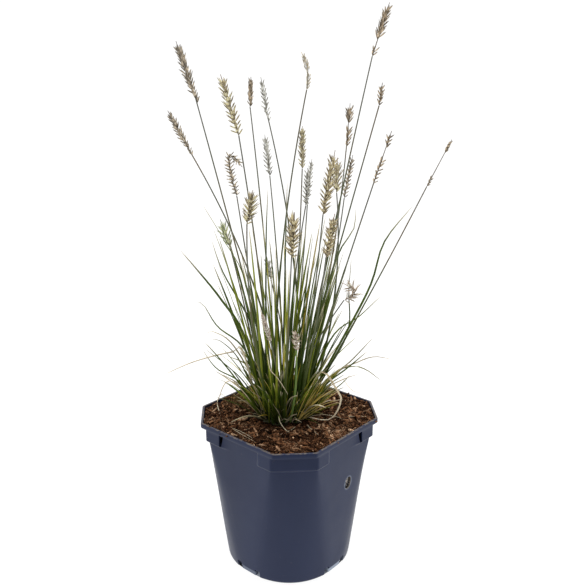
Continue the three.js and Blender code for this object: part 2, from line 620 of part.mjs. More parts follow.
const plant = new THREE.Group();
plant.rotation.z = FACING;
const stalks = STALKS.map((stalk) => ({ ...stalk, curve: stalkCurve(stalk) }));
for (const stalk of stalks) stalk.axis = headCurve(stalk);
plant.add(named("leaf_tuft", tuftGeometry(stalks), "leaf"));
stalks.forEach(({ curve, base, axis, bare }, i) => {
  const number = String(i + 1).padStart(2, "0");
  const radiusAt = (share) => mix(STALK_RADIUS.foot, STALK_RADIUS.top, share);
  plant.add(named(`stalk_${number}`, rodGeometry(curve, STALK_STEPS, radiusAt, STALK_SIDES), "stalk"));
  const head = named(`seed_head_${number}`, headGeometry(axis, bare), "head");
  head.position.set(...base);
  plant.add(head);
});
grass.add(plant);

export default grass;
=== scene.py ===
"""A potted little bunny fountain grass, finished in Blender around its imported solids.

The plant's own frame is in millimetres: x runs across the view, y away from it and z up.
It is turned by FACING on the pot, whose flat sides face X and Y. Meshes are written in metres,
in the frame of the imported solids.
"""

import itertools
import logging
import math
from collections.abc import Iterable, Sequence
from dataclasses import dataclass, field
from enum import Enum

import bpy
import numpy as np
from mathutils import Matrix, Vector

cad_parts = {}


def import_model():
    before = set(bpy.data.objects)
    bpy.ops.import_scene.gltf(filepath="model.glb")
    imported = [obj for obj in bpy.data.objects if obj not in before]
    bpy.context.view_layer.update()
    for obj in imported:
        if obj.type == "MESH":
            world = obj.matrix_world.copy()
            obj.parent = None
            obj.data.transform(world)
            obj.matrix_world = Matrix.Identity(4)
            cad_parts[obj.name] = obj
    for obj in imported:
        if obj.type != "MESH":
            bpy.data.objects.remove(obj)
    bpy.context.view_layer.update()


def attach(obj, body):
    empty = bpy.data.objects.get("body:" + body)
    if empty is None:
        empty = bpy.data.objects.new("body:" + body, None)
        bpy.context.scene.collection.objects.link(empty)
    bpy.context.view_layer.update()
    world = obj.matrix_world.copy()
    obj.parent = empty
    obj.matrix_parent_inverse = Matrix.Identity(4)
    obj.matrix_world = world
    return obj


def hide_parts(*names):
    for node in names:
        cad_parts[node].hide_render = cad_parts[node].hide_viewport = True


MM = 0.001
FACING = math.radians(41.1)
GOLDEN_ANGLE = 2.39996
GAP = 0.3

POT_HEIGHT = 153.0
LIP_HALF = 75.0
SOIL_TOP = 146.0
SOIL_HEAP = 4.6
CROWN = np.array([-7.0, 8.0])
CROWN_RADIUS = 26.0
CROWN_RISE = 7.0
FOOT_DEPTH = 6.0
STALK_FOOT_RADIUS = 1.15
FLORET_CORE = 0.95
HEAD_CLEARANCE = 5.4

SHARES = np.linspace(0, 1, 201)
QUARTER_TURN = np.array([[0, 1], [-1, 0]])
CORNER_LOSS = 2 - math.sqrt(2)
CROWN_DEPTH = 13.0
LEAF_FOOT_DEPTH = 4.0
X_AXIS = np.array([1.0, 0.0, 0.0])

Pair = tuple[float, float]
Triple = tuple[float, float, float]
Colour = Triple
Socket = bpy.types.NodeSocket

log = logging.getLogger("grass")


# Shared arithmetic.


def draw(*keys: float | np.ndarray) -> np.ndarray:
    """Repeatable numbers from 0 to 1: the fraction of a large multiple of the sine of the weighted keys.

    Args:
        keys: Up to three numbers or arrays that pick the draw.
    Returns:
        One number for each set of keys.
    """
    weights = (12.9898, 78.233, 37.719)
    total = sum(np.asarray(key, float) * weight for key, weight in zip(keys, weights))
    spread = np.sin(total) * 43758.5453
    return spread - np.floor(spread)


def mix(low: float, high: float, share: np.ndarray | float) -> np.ndarray | float:
    """The value that lies `share` of the way from low to high."""
    return low + (high - low) * share


def unit(vectors: np.ndarray) -> np.ndarray:
    """The vectors, each brought to length one."""
    return vectors / np.maximum(np.linalg.norm(vectors, axis=-1, keepdims=True), 1e-9)


def smooth(values: np.ndarray, low: float, high: float) -> np.ndarray:
    """A smooth step from 0 at low to 1 at high: 3t² - 2t³ of the clamped share t."""
    share = np.clip((values - low) / (high - low), 0, 1)
    return share * share * (3 - 2 * share)


def on_circle(angle: np.ndarray) -> np.ndarray:
    """The point of the unit circle at each angle."""
    return np.stack([np.cos(angle), np.sin(angle)], axis=-1)


def leftward(heading: np.ndarray, rise: np.ndarray) -> np.ndarray:
    """The direction a quarter turn to the left of each heading, with a rise."""
    return np.stack([-np.sin(heading), np.cos(heading), rise], axis=-1)


def turned(points: np.ndarray) -> np.ndarray:
    """Points of the plant's frame, turned about Z by FACING into the pot's frame.

    Args:
        points: An array whose last axis holds x, y and z.
    Returns:
        An array of the same shape.
    """
    x, y = points[..., 0], points[..., 1]
    cos, sin = math.cos(FACING), math.sin(FACING)
    return np.stack([x * cos - y * sin, x * sin + y * cos, points[..., 2]], axis=-1)


def bezier(start: np.ndarray, control: np.ndarray, end: np.ndarray, share: np.ndarray) -> np.ndarray:
    """Points of a quadratic curve: (1-t)² start + 2t(1-t) control + t² end."""
    t = share[:, None]
    return (1 - t) ** 2 * start + 2 * t * (1 - t) * control + t**2 * end


def through(points: np.ndarray, share: np.ndarray) -> np.ndarray:
    """Points of the smooth curve through the given ones.

    Each stretch is a cubic whose slope at a point is half the step between that point's two neighbours.

    Args:
        points: The points that the curve passes, in order.
        share: Places along it, from 0 to 1.
    Returns:
        A point for each share.
    """
    padded = np.vstack([2 * points[0] - points[1], points, 2 * points[-1] - points[-2]])
    place = share * (len(points) - 1)
    k = np.minimum(place.astype(int), len(points) - 2)
    t = (place - k)[:, None]
    before, here, there, after = (padded[k + i] for i in range(4))
    slope_in, slope_out = (there - before) / 2, (after - here) / 2
    square = 3 * (there - here) - 2 * slope_in - slope_out
    cube = 2 * (here - there) + slope_in + slope_out
    return here + slope_in * t + square * t**2 + cube * t**3


@dataclass(frozen=True)
class Route:
    """A curve in space, given by its control points and how it passes them."""

    points: np.ndarray
    passes: bool = False

    def at(self, share: np.ndarray) -> np.ndarray:
        """Points of the curve at the given shares of its parameter."""
        return through(self.points, share) if self.passes else bezier(*self.points, share)

    def chords(self) -> np.ndarray:
        """The lengths of the short chords between evenly spaced values of the parameter."""
        return np.linalg.norm(np.diff(self.at(SHARES), axis=0), axis=1)

    def spaced(self, steps: int) -> np.ndarray:
        """Evenly spaced points: the parameter is read off the running length of the chords."""
        run = np.concatenate([[0], np.cumsum(self.chords())])
        return self.at(np.interp(np.linspace(0, run[-1], steps + 1), run, SHARES))

    def length(self) -> float:
        """The length of the curve."""
        return float(self.chords().sum())


# Meshes.


@dataclass
class Surface:
    """A mesh in the making: corners in millimetres in the pot's frame, faces, and what the corners carry."""

    points: np.ndarray
    faces: np.ndarray
    uv: np.ndarray
    values: dict[str, np.ndarray] = field(default_factory=dict)


def grid_faces(rows: int, columns: int, closed: bool) -> np.ndarray:
    """Quads between neighbouring rows of a grid, wound so that a counterclockwise section faces out.

    Args:
        rows: Number of sections along the piece.
        columns: Number of corners in a section.
        closed: Whether a section's last corner joins its first.
    Returns:
        An array of quads of corner numbers.
    """
    across = columns if closed else columns - 1
    row, column = np.meshgrid(np.arange(rows - 1), np.arange(across), indexing="ij")
    low, low_next = row * columns + column, row * columns + (column + 1) % columns
    return np.stack([low, low_next, low_next + columns, low + columns], axis=-1).reshape(-1, 4)


def closed_faces(rows: int, columns: int, low: int, high: int, inward: bool = False) -> np.ndarray:
    """The faces of a closed tube: quads between its rows, and a fan of triangles over each end.

    Args:
        rows: Number of sections along the piece.
        columns: Number of corners in a section.
        low: The number of the point in the middle of the first section.
        high: The number of the point in the middle of the last section.
        inward: Whether the rows run inward or down, so that every face is wound the other way round.
    Returns:
        An array of faces, with -1 as a triangle's fourth corner.
    """
    ring = np.arange(columns)
    after = (ring + 1) % columns
    last = (rows - 1) * columns
    none = np.full(columns, -1)
    first_fan = np.stack([after, ring, np.full(columns, low), none], axis=-1)
    last_fan = np.stack([last + ring, last + after, np.full(columns, high), none], axis=-1)
    quads, fans = grid_faces(rows, columns, True), np.vstack([first_fan, last_fan])
    if inward:
        quads, fans = quads[:, ::-1], fans[:, [1, 0, 2, 3]]
    return np.vstack([quads, fans])


def polygon(sides: int, flat: float = 1.0) -> np.ndarray:
    """The corners of a regular polygon of radius one, with its second axis scaled by `flat`."""
    return on_circle(np.arange(sides) * 2 * math.pi / sides) * [1.0, flat]


def strands(
    paths: np.ndarray, sides: np.ndarray, section: np.ndarray, values: dict[str, np.ndarray]
) -> Surface:
    """Many closed strands at once: each is a section carried along its path.

    A corner is path + a side + b normal, where (a, b) is the section's corner there, the normal is the
    path's direction crossed with the side, and the side is kept square to the path. The ends are closed by
    fans whose faces meet in the section's mean point.

    Args:
        paths: Points of the paths, as (strand, row, 3).
        sides: The direction that each section's first axis points in, as (strand, 3) or (strand, row, 3).
        section: The section's corners in that plane, as (strand, row, corner, 2).
        values: A number for each strand under each attribute's name.
    Returns:
        The strands as one surface, with uv x round the section and uv y along the path.
    """
    count, rows, corners = section.shape[:3]
    along = unit(np.gradient(paths, axis=1))
    side = sides if sides.ndim == 3 else np.repeat(sides[:, None], rows, axis=1)
    side = unit(side - along * np.sum(side * along, axis=-1, keepdims=True))
    normal = np.cross(along, side)
    shell = paths[:, :, None] + section[..., :1] * side[:, :, None] + section[..., 1:] * normal[:, :, None]
    caps = np.stack([shell[:, 0].mean(axis=1), shell[:, -1].mean(axis=1)], axis=1)
    points = np.concatenate([shell.reshape(count, -1, 3), caps], axis=1)
    pattern = closed_faces(rows, corners, rows * corners, rows * corners + 1)
    size = points.shape[1]
    shifted = pattern[None] + np.arange(count)[:, None, None] * size
    shifted = np.where(pattern[None] < 0, -1, shifted)
    around = np.tile(np.arange(corners) / corners, rows)
    run = np.repeat(np.linspace(0, 1, rows), corners)
    uv = np.stack([np.append(around, [0.5, 0.5]), np.append(run, [0, 1])], axis=-1)
    carried = {name: np.repeat(value, size) for name, value in values.items()}
    return Surface(points.reshape(-1, 3), shifted.reshape(-1, 4), np.tile(uv, (count, 1)), carried)


def rod(path: np.ndarray, radius: np.ndarray, sides: int, tone: float) -> Surface:
    """A round rod along one path.

    Args:
        path: The points of its line.
        radius: Its radius at each point.
        sides: Number of corners in a section.
        tone: The tone that it carries.
    Returns:
        The closed rod.
    """
    section = polygon(sides)[None, None] * radius[None, :, None, None]
    return strands(path[None], X_AXIS[None], section, {"tone": np.array([tone])})


def joined(parts: Sequence[Surface]) -> Surface:
    """Several surfaces as one.

    Args:
        parts: Surfaces that all carry the same attributes.
    Returns:
        The joined surface, with the parts in their order.
    """
    starts = np.cumsum([0] + [len(part.points) for part in parts[:-1]])
    faces = [np.where(part.faces < 0, -1, part.faces + start) for part, start in zip(parts, starts)]
    values = {name: np.concatenate([part.values[name] for part in parts]) for name in parts[0].values}
    points = np.vstack([part.points for part in parts])
    return Surface(points, np.vstack(faces), np.vstack([part.uv for part in parts]), values)


def mesh_from(name: str, surface: Surface) -> bpy.types.Mesh:
    """A Blender mesh from a surface. A face with -1 as its fourth corner is a triangle.

    Args:
        name: The mesh's name.
        surface: The corners in millimetres, the faces and what they carry.
    Returns:
        The mesh in metres, smooth, with the uv map and the attributes.
    """
    faces = surface.faces
    totals = np.where(faces[:, 3] < 0, 3, 4)
    corners = faces.reshape(-1)
    corners = corners[corners >= 0]
    mesh = bpy.data.meshes.new(name)
    mesh.vertices.add(len(surface.points))
    mesh.vertices.foreach_set("co", (surface.points * MM).astype(np.float32).reshape(-1))
    mesh.loops.add(len(corners))
    mesh.loops.foreach_set("vertex_index", corners.astype(np.int32))
    mesh.polygons.add(len(faces))
    starts = np.concatenate([[0], np.cumsum(totals)[:-1]])
    mesh.polygons.foreach_set("loop_start", starts.astype(np.int32))
    mesh.polygons.foreach_set("loop_total", totals.astype(np.int32))
    mesh.update(calc_edges=True)
    layer = mesh.uv_layers.new(name="UVMap")
    layer.data.foreach_set("uv", surface.uv[corners].astype(np.float32).reshape(-1))
    for key, value in surface.values.items():
        attribute = mesh.attributes.new(key, "FLOAT", "POINT")
        attribute.data.foreach_set("value", value.astype(np.float32))
    mesh.polygons.foreach_set("use_smooth", np.ones(len(faces), bool))
    mesh.validate()
    return mesh


def add_piece(
    name: str, mesh: bpy.types.Mesh, material: bpy.types.Material
) -> bpy.types.Object:
    """An object at the origin for a finished mesh, riding on the plant's one body.

    Args:
        name: The piece's name.
        mesh: Its mesh, with its place in it.
        material: Its finish.
    Returns:
        The new object.
    """
    piece = bpy.data.objects.new(name, mesh)
    mesh.materials.append(material)
    bpy.context.scene.collection.objects.link(piece)
    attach(piece, "root")
    log.info("%s: %d faces", name, len(mesh.polygons))
    return piece


# Materials.


class Shade:
    """Short ways to place and join the nodes of one material."""

    def __init__(self, name: str) -> None:
        """Starts a material with its own Principled shader.

        Args:
            name: The material's name.
        """
        self.material = bpy.data.materials.new(name)
        self.material.use_nodes = True
        self.tree = self.material.node_tree
        self.shader = self.tree.nodes["Principled BSDF"]

    def node(self, kind: str, **settings: object) -> bpy.types.Node:
        """A new node.

        Args:
            kind: Its type.
            settings: Its properties by name.
        Returns:
            The node.
        """
        node = self.tree.nodes.new(kind)
        for key, value in settings.items():
            setattr(node, key, value)
        return node

    def link(self, output: Socket, target: Socket) -> None:
        """Joins an output to an input."""
        self.tree.links.new(output, target)

    def give(self, value: Socket | Colour | float, target: Socket) -> None:
        """Joins an output to an input, or sets the input to a colour or number.

        Args:
            value: The output, colour or number.
            target: The input.
        """
        if isinstance(value, Socket):
            self.link(value, target)
        else:
            target.default_value = (*value, 1) if isinstance(value, tuple) else value

    def place(self) -> tuple[Socket, Socket, Socket]:
        """The object's own x, y and z, in metres.

        Returns:
            The three outputs.
        """
        split = self.node("ShaderNodeSeparateXYZ")
        self.link(self.node("ShaderNodeTexCoord").outputs["Object"], split.inputs["Vector"])
        return split.outputs["X"], split.outputs["Y"], split.outputs["Z"]

    def along(self) -> tuple[Socket, Socket]:
        """The uv map's two directions.

        Returns:
            The output that runs round a section and the one that runs along the strand.
        """
        split = self.node("ShaderNodeSeparateXYZ")
        self.link(self.uv(), split.inputs["Vector"])
        return split.outputs["X"], split.outputs["Y"]

    def uv(self) -> Socket:
        """The uv map."""
        return self.node("ShaderNodeUVMap", uv_map="UVMap").outputs["UV"]

    def attribute(self, name: str) -> Socket:
        """The number that the mesh carries under that name."""
        return self.node("ShaderNodeAttribute", attribute_name=name).outputs["Fac"]

    def maths(self, operation: str, *values: Socket | float) -> Socket:
        """The result of a Math node.

        Args:
            operation: What it does.
            values: Its inputs, in order.
        Returns:
            The result.
        """
        node = self.node("ShaderNodeMath", operation=operation)
        for value, target in zip(values, node.inputs):
            self.give(value, target)
        return node.outputs["Value"]

    def product(self, one: Socket, other: Socket | float) -> Socket:
        """One value times the other."""
        return self.maths("MULTIPLY", one, other)

    def distance(self, across: Socket, up: Socket) -> Socket:
        """The root of the sum of two squares."""
        squares = [self.product(side, side) for side in (across, up)]
        return self.maths("SQRT", self.maths("ADD", *squares))

    def noise(self, scale: float, detail: float, stretch: Triple = (1, 1, 1)) -> Socket:
        """Noise in object space.

        Args:
            scale: How fine it is.
            detail: How many finer layers it has.
            stretch: Scale of the pattern along each axis; less than 1 draws it out.
        Returns:
            The noise, from 0 to 1.
        """
        mapping = self.node("ShaderNodeMapping")
        mapping.inputs["Scale"].default_value = stretch
        noise = self.node("ShaderNodeTexNoise")
        noise.inputs["Scale"].default_value = scale
        noise.inputs["Detail"].default_value = detail
        self.link(self.node("ShaderNodeTexCoord").outputs["Object"], mapping.inputs["Vector"])
        self.link(mapping.outputs["Vector"], noise.inputs["Vector"])
        return noise.outputs["Fac"]

    def ramp(self, value: Socket, stops: Sequence[tuple[float, Colour]]) -> Socket:
        """A colour for each value.

        Args:
            value: Where on the ramp, from 0 to 1.
            stops: Places on the ramp, each with its colour.
        Returns:
            The colour.
        """
        ramp = self.node("ShaderNodeValToRGB")
        elements = ramp.color_ramp.elements
        while len(elements) < len(stops):
            elements.new(0.5)
        for element, (place, colour) in zip(elements, stops):
            element.position = place
            element.color = (*colour, 1)
        self.link(value, ramp.inputs["Fac"])
        return ramp.outputs["Color"]

    def blend(self, share: Socket, low: Socket | Colour, high: Socket | Colour) -> Socket:
        """Two colours mixed.

        Args:
            share: The second colour's share, from 0 to 1.
            low: The first colour.
            high: The second colour.
        Returns:
            The mixed colour.
        """
        node = self.node("ShaderNodeMix", data_type="RGBA", blend_type="MIX")
        for value, target in ((share, node.inputs[0]), (low, node.inputs[6]), (high, node.inputs[7])):
            self.give(value, target)
        return node.outputs[2]

    def spread(self, value: Socket, source: Pair, target: Pair) -> Socket:
        """A value moved from one range to another, and held inside it.

        Args:
            value: The value.
            source: The range that it comes from.
            target: What the ends of that range become.
        Returns:
            The moved value.
        """
        node = self.node("ShaderNodeMapRange")
        self.link(value, node.inputs["Value"])
        node.inputs["From Min"].default_value, node.inputs["From Max"].default_value = source
        node.inputs["To Min"].default_value, node.inputs["To Max"].default_value = target
        return node.outputs["Result"]

    def bump(self, height: Socket, strength: float, distance: float) -> None:
        """Relief on the surface.

        Args:
            height: Its height, from 0 to 1.
            strength: How much of it shows.
            distance: How high it is at full strength, in metres.
        """
        node = self.node("ShaderNodeBump")
        node.inputs["Strength"].default_value = strength
        node.inputs["Distance"].default_value = distance
        self.link(height, node.inputs["Height"])
        self.link(node.outputs["Normal"], self.shader.inputs["Normal"])

    def finish(self, colour: Socket, roughness: Socket | float, specular: float) -> bpy.types.Material:
        """Closes the material.

        Args:
            colour: Its base colour.
            roughness: How matt it is.
            specular: How much of the coat of light it throws back.
        Returns:
            The finished material.
        """
        self.link(colour, self.shader.inputs["Base Color"])
        self.give(roughness, self.shader.inputs["Roughness"])
        self.give(specular, self.shader.inputs["Specular IOR Level"])
        return self.material


@dataclass(frozen=True)
class PotPlastic:
    """Dark slate-blue moulded plastic with a satin skin, faint flow marks, dusty edges and painted floor
    light in the foot recesses.

    Its bands and places are in metres, in the pot's frame.
    """

    deep: Colour = (0.0152, 0.0222, 0.056)
    pale: Colour = (0.0218, 0.0318, 0.0775)
    dust: Colour = (0.2, 0.165, 0.13)
    # Chalk for the scuffs round the side hole, and the colour of the painted floor light in the foot
    # recesses.
    chalk_and_floor_light: Colour = (0.33, 0.38, 0.47)
    rim_band: Pair = (0.1522, 0.1529)
    recess_side: Pair = (0.0146, 0.0152)
    recess_top: Pair = (0.0046, 0.0056)
    vent_place: Pair = (0.0102, 0.0952)
    vent_squeeze: float = 1.3
    ring_band: Pair = (0.0068, 0.0084)

    def recess_floor_light(self, shade: Shade) -> Socket:
        """How much painted floor light a place gets for lying in a foot recess, more on the right.

        Args:
            shade: The material's nodes.
        Returns:
            The share, from 0 to 0.95.
        """
        x, y, z = shade.place()
        side = shade.maths("MINIMUM", shade.maths("ABSOLUTE", x), shade.maths("ABSOLUTE", y))
        inside = shade.product(
            shade.spread(side, self.recess_side, (1, 0)), shade.spread(z, self.recess_top, (1, 0))
        )
        return shade.product(inside, shade.spread(x, (0.02, 0.03), (0.4, 0.95)))

    def ring_share(self, shade: Shade) -> Socket:
        """How scuffed a place is for lying close round the side hole.

        Args:
            shade: The material's nodes.
        Returns:
            The share, from 0 to 0.35.
        """
        x, y, z = shade.place()
        across = shade.product(shade.maths("SUBTRACT", y, self.vent_place[0]), self.vent_squeeze)
        away = shade.distance(across, shade.maths("SUBTRACT", z, self.vent_place[1]))
        near = shade.spread(away, self.ring_band, (0.35, 0))
        return shade.product(near, shade.spread(x, (0.05, 0.052), (0, 1)))

    def build(self) -> bpy.types.Material:
        """Two blues mixed by long flow marks, with dusty specks and rim, painted floor light in the foot
        recesses and chalky scuffs round the side hole.

        Returns:
            The material.
        """
        shade = Shade("pot_plastic")
        _, _, z = shade.place()
        colour = shade.ramp(shade.noise(14, 3, (1, 1, 0.25)), [(0.3, self.deep), (0.7, self.pale)])
        speck = shade.noise(260, 5)
        rim = shade.spread(z, self.rim_band, (0, 1))
        rim = shade.product(rim, shade.spread(speck, (0.36, 0.6), (0, 0.75)))
        colour = shade.blend(shade.spread(speck, (0.66, 0.82), (0, 0.12)), colour, self.dust)
        colour = shade.blend(rim, colour, self.dust)
        # Painted floor light: the foot recesses are lightened towards the chalk colour, more on the right.
        colour = shade.blend(self.recess_floor_light(shade), colour, self.chalk_and_floor_light)
        colour = shade.blend(self.ring_share(shade), colour, self.chalk_and_floor_light)
        shade.bump(shade.noise(1400, 2), 0.12, 0.0002)
        return shade.finish(colour, shade.spread(shade.noise(40, 4), (0.3, 0.7), (0.34, 0.44)), 0.19)


@dataclass(frozen=True)
class RawEdge:
    """The bare, dusty edge of the wall where the side hole was cut."""

    low: Colour = (0.16, 0.14, 0.12)
    high: Colour = (0.42, 0.38, 0.34)

    def build(self) -> bpy.types.Material:
        """The material, mottled by fine noise."""
        shade = Shade("raw_edge")
        return shade.finish(shade.ramp(shade.noise(500, 3), [(0.35, self.low), (0.6, self.high)]), 0.7, 0.2)


@dataclass(frozen=True)
class BarkSoil:
    """Damp reddish-brown bark and peat. Each chip has its own tone, and a patch has algae on it."""

    dark: Colour = (0.003, 0.001, 0.0004)
    brown: Colour = (0.1, 0.04, 0.018)
    rust: Colour = (0.38, 0.18, 0.085)
    straw: Colour = (0.78, 0.5, 0.31)
    moss: Colour = (0.2, 0.16, 0.045)

    def build(self) -> bpy.types.Material:
        """A colour for each tone, with painted shade where the grain is low, in the bump's hollows, and algae
        where the grain is high.

        Returns:
            The material.
        """
        shade = Shade("bark_soil")
        stops = [(0.0, self.dark), (0.4, self.brown), (0.78, self.rust), (1.0, self.straw)]
        colour = shade.ramp(shade.attribute("tone"), stops)
        grain = shade.noise(700, 5)
        # Painted shade: where the grain is low, in the hollows of its bump, the colour darkens up to 0.75 of
        # the way to dark.
        colour = shade.blend(shade.spread(grain, (0.38, 0.62), (0.75, 0)), colour, self.dark)
        algae = shade.product(shade.attribute("moss"), shade.spread(grain, (0.4, 0.55), (0, 0.8)))
        colour = shade.blend(algae, colour, self.moss)
        shade.bump(grain, 0.5, 0.0008)
        return shade.finish(colour, 0.9, 0.06)


@dataclass(frozen=True)
class RootGrey:
    """Fine roots against the pot's wall, from dark to ash grey."""

    dark: Colour = (0.07, 0.07, 0.08)
    pale: Colour = (0.6, 0.55, 0.5)

    def build(self) -> bpy.types.Material:
        """A grey for each root's tone.

        Returns:
            The material.
        """
        shade = Shade("root_grey")
        colour = shade.ramp(shade.attribute("tone"), [(0.2, self.dark), (0.9, self.pale)])
        return shade.finish(colour, 0.8, 0.1)


@dataclass(frozen=True)
class LeafGreen:
    """Leaf blades: each has its own green, a paler channel, fine veins and a straw tip, or is dry.

    foot_band is where painted shade darkens leaves towards the soil, as heights in metres.
    """

    shadow: Colour = (0.014, 0.042, 0.004)
    green: Colour = (0.075, 0.13, 0.008)
    lime: Colour = (0.36, 0.41, 0.045)
    gold: Colour = (0.88, 0.64, 0.1)
    straw: Colour = (0.93, 0.8, 0.6)
    dead: Colour = (0.24, 0.16, 0.08)
    foot_shade: Colour = (0.004, 0.005, 0.001)
    foot_band: Pair = (0.15, 0.178)
    grain: Triple = (1, 1, 0.3)
    vein_scale: float = 9.0

    def living(self, shade: Shade) -> Socket:
        """Green leaves: the leaf's tone, raised in its channel and by mottling, gives the colour.

        Args:
            shade: The material's nodes.
        Returns:
            The colour.
        """
        around, run = shade.along()
        channel = shade.product(
            shade.spread(around, (0.48, 0.52), (0, 0.22)), shade.spread(run, (0.2, 0.5), (0, 1))
        )
        mottled = shade.spread(shade.noise(70, 3, self.grain), (0.35, 0.65), (-0.12, 0.12))
        tone = shade.maths("ADD", shade.maths("ADD", shade.attribute("tone"), channel), mottled)
        stops = [(0.0, self.shadow), (0.4, self.green), (0.8, self.lime), (1.0, self.gold)]
        tip = shade.spread(run, (0.82, 1.0), (0, 0.85))
        return shade.blend(tip, shade.ramp(tone, stops), self.straw)

    def parched(self, shade: Shade) -> Socket:
        """Dry leaves: brown and straw in patches, and all straw where the tone is high.

        Args:
            shade: The material's nodes.
        Returns:
            The colour.
        """
        colour = shade.ramp(shade.noise(60, 3, self.grain), [(0.3, self.dead), (0.6, self.straw)])
        return shade.blend(shade.spread(shade.attribute("tone"), (0.6, 0.95), (0, 0.85)), colour, self.straw)

    def build(self) -> bpy.types.Material:
        """Living or dry colour by the leaf's dryness, with painted shade at the foot, and fine veins.

        Returns:
            The material.
        """
        shade = Shade("leaf_green")
        colour = shade.blend(shade.attribute("dry"), self.living(shade), self.parched(shade))
        _, _, z = shade.place()
        # Painted shade: towards the soil leaves darken nearly to black, less so when dry or golden.
        own = shade.maths("MAXIMUM", shade.attribute("dry"), shade.attribute("tone"))
        deep = shade.spread(z, self.foot_band, (0.95, 0))
        deep = shade.product(deep, shade.spread(own, (0.6, 1), (1, 0.15)))
        colour = shade.blend(deep, colour, self.foot_shade)
        veins = shade.node("ShaderNodeTexWave", wave_type="BANDS", bands_direction="X")
        veins.inputs["Scale"].default_value = self.vein_scale
        shade.link(shade.uv(), veins.inputs["Vector"])
        colour = shade.blend(shade.spread(veins.outputs["Fac"], (0, 1), (0, 0.1)), colour, self.lime)
        shade.bump(veins.outputs["Fac"], 0.3, 0.0001)
        return shade.finish(colour, 0.45, 0.2)


@dataclass(frozen=True)
class StemGreen:
    """Stems: dark olive below, grey-green and smooth towards the seed head. Some are reddish, some pale."""

    low: Colour = (0.032, 0.062, 0.005)
    middle: Colour = (0.08, 0.105, 0.022)
    high: Colour = (0.165, 0.165, 0.135)
    russet: Colour = (0.2, 0.14, 0.07)
    pale: Colour = (0.2, 0.32, 0.08)

    def build(self) -> bpy.types.Material:
        """A colour along the stem, with reddish patches higher up, paler by the stem's tone.

        Returns:
            The material.
        """
        shade = Shade("stem_green")
        _, run = shade.along()
        colour = shade.ramp(run, [(0.05, self.low), (0.5, self.middle), (0.95, self.high)])
        patch = shade.spread(shade.noise(50, 3, (1, 1, 0.1)), (0.48, 0.66), (0, 0.6))
        patch = shade.product(patch, shade.spread(run, (0.3, 0.6), (0.1, 1)))
        colour = shade.blend(patch, colour, self.russet)
        colour = shade.blend(shade.spread(shade.attribute("tone"), (0.5, 1), (0, 1)), colour, self.pale)
        return shade.finish(colour, 0.5, 0.4)


class HeadTone(Enum):
    """The colours of a seed head: the husks' body and their tips."""

    GREY_BROWN = ((0.44, 0.38, 0.29), (0.17, 0.14, 0.12))
    GOLD = ((0.55, 0.47, 0.31), (0.34, 0.26, 0.19))
    ROSE = ((0.72, 0.58, 0.45), (0.5, 0.38, 0.3))
    TAN = ((0.54, 0.45, 0.29), (0.3, 0.22, 0.16))
    STRAW = ((0.88, 0.8, 0.62), (0.8, 0.68, 0.5))
    GREY = ((0.56, 0.54, 0.47), (0.34, 0.32, 0.29))
    BROWN = ((0.42, 0.34, 0.24), (0.15, 0.12, 0.09))
    PALE_GREEN = ((0.48, 0.52, 0.32), (0.28, 0.3, 0.2))


@dataclass(frozen=True)
class HeadHusk:
    """Dry husks of one seed head: a paler body with a darker tip, darker towards the head's axis."""

    tone: HeadTone

    def build(self) -> bpy.types.Material:
        """The husk's own tone in its middle, a dark foot and the tip's colour at its ends, and dark specks.

        Returns:
            The material.
        """
        body, tip = self.tone.value
        black, white = (0.0, 0.0, 0.0), (1.0, 1.0, 1.0)
        foot, light, dark = (tuple(min(1.0, part * factor) for part in body) for factor in (0.5, 2.0, 0.4))
        shade = Shade(f"husk_{self.tone.name.lower()}")
        _, run = shade.along()
        husk = shade.ramp(shade.attribute("tone"), [(0.1, dark), (0.4, body), (0.9, light)])
        ends = shade.ramp(run, [(0.05, foot), (0.6, foot), (0.95, tip)])
        middle = shade.ramp(run, [(0.05, black), (0.3, white), (0.6, white), (0.95, black)])
        colour = shade.blend(middle, ends, husk)
        colour = shade.blend(shade.spread(shade.noise(420, 3), (0.55, 0.72), (0, 0.5)), colour, dark)
        return shade.finish(colour, 0.62, 0.3)


@dataclass(frozen=True)
class StudioFloor:
    """The white floor, which glows like a light table, but less so well in front of the pot.

    Under the pot it is dark, a painted shadow, with a faint glow in front that shows through the foot. The
    pot's foot is a
    square with round corners: foot_flat is half a side's straight part and foot_band the edge of the corners'
    radius, in metres.
    """

    low: Colour = (0.2, 0.2, 0.2)
    high: Colour = (0.22, 0.22, 0.22)
    far: Colour = (1.0, 1.0, 1.0)
    near: Colour = (0.35, 0.35, 0.35)
    under: Colour = (0.02, 0.02, 0.02)
    under_glow: Colour = (0.2, 0.22, 0.26)
    foot_flat: float = 0.0074
    foot_band: Pair = (0.0516, 0.0522)
    glow: float = 0.89

    def build(self) -> bpy.types.Material:
        """A nearly even white whose glow is masked by the distance from the foot's rounded square.

        Returns:
            The material.
        """
        shade = Shade("studio_floor")
        colour = shade.ramp(shade.noise(3, 2), [(0.4, self.low), (0.6, self.high)])
        x, y, _ = shade.place()
        toward = shade.maths(
            "SUBTRACT", shade.product(x, math.sin(FACING)), shade.product(y, math.cos(FACING))
        )
        glow = shade.ramp(shade.spread(toward, (0.12, 0.5), (0, 1)), [(0, self.far), (1, self.near)])
        beyond = [shade.maths("SUBTRACT", shade.maths("ABSOLUTE", side), self.foot_flat) for side in (x, y)]
        away = shade.distance(*(shade.maths("MAXIMUM", side, 0) for side in beyond))
        outside = shade.spread(away, self.foot_band, (0, 1))
        front = shade.spread(toward, (0.04, 0.05), (0, 1))
        # Painted shadow under the pot: no glow there, save a faint one in front, and a nearly black colour.
        shadow = shade.ramp(front, [(0, (0, 0, 0)), (1, self.under_glow)])
        shade.link(shade.blend(outside, shadow, glow), shade.shader.inputs["Emission Color"])
        shade.give(self.glow, shade.shader.inputs["Emission Strength"])
        return shade.finish(shade.blend(outside, self.under, colour), 0.8, 0.1)


# The pot.


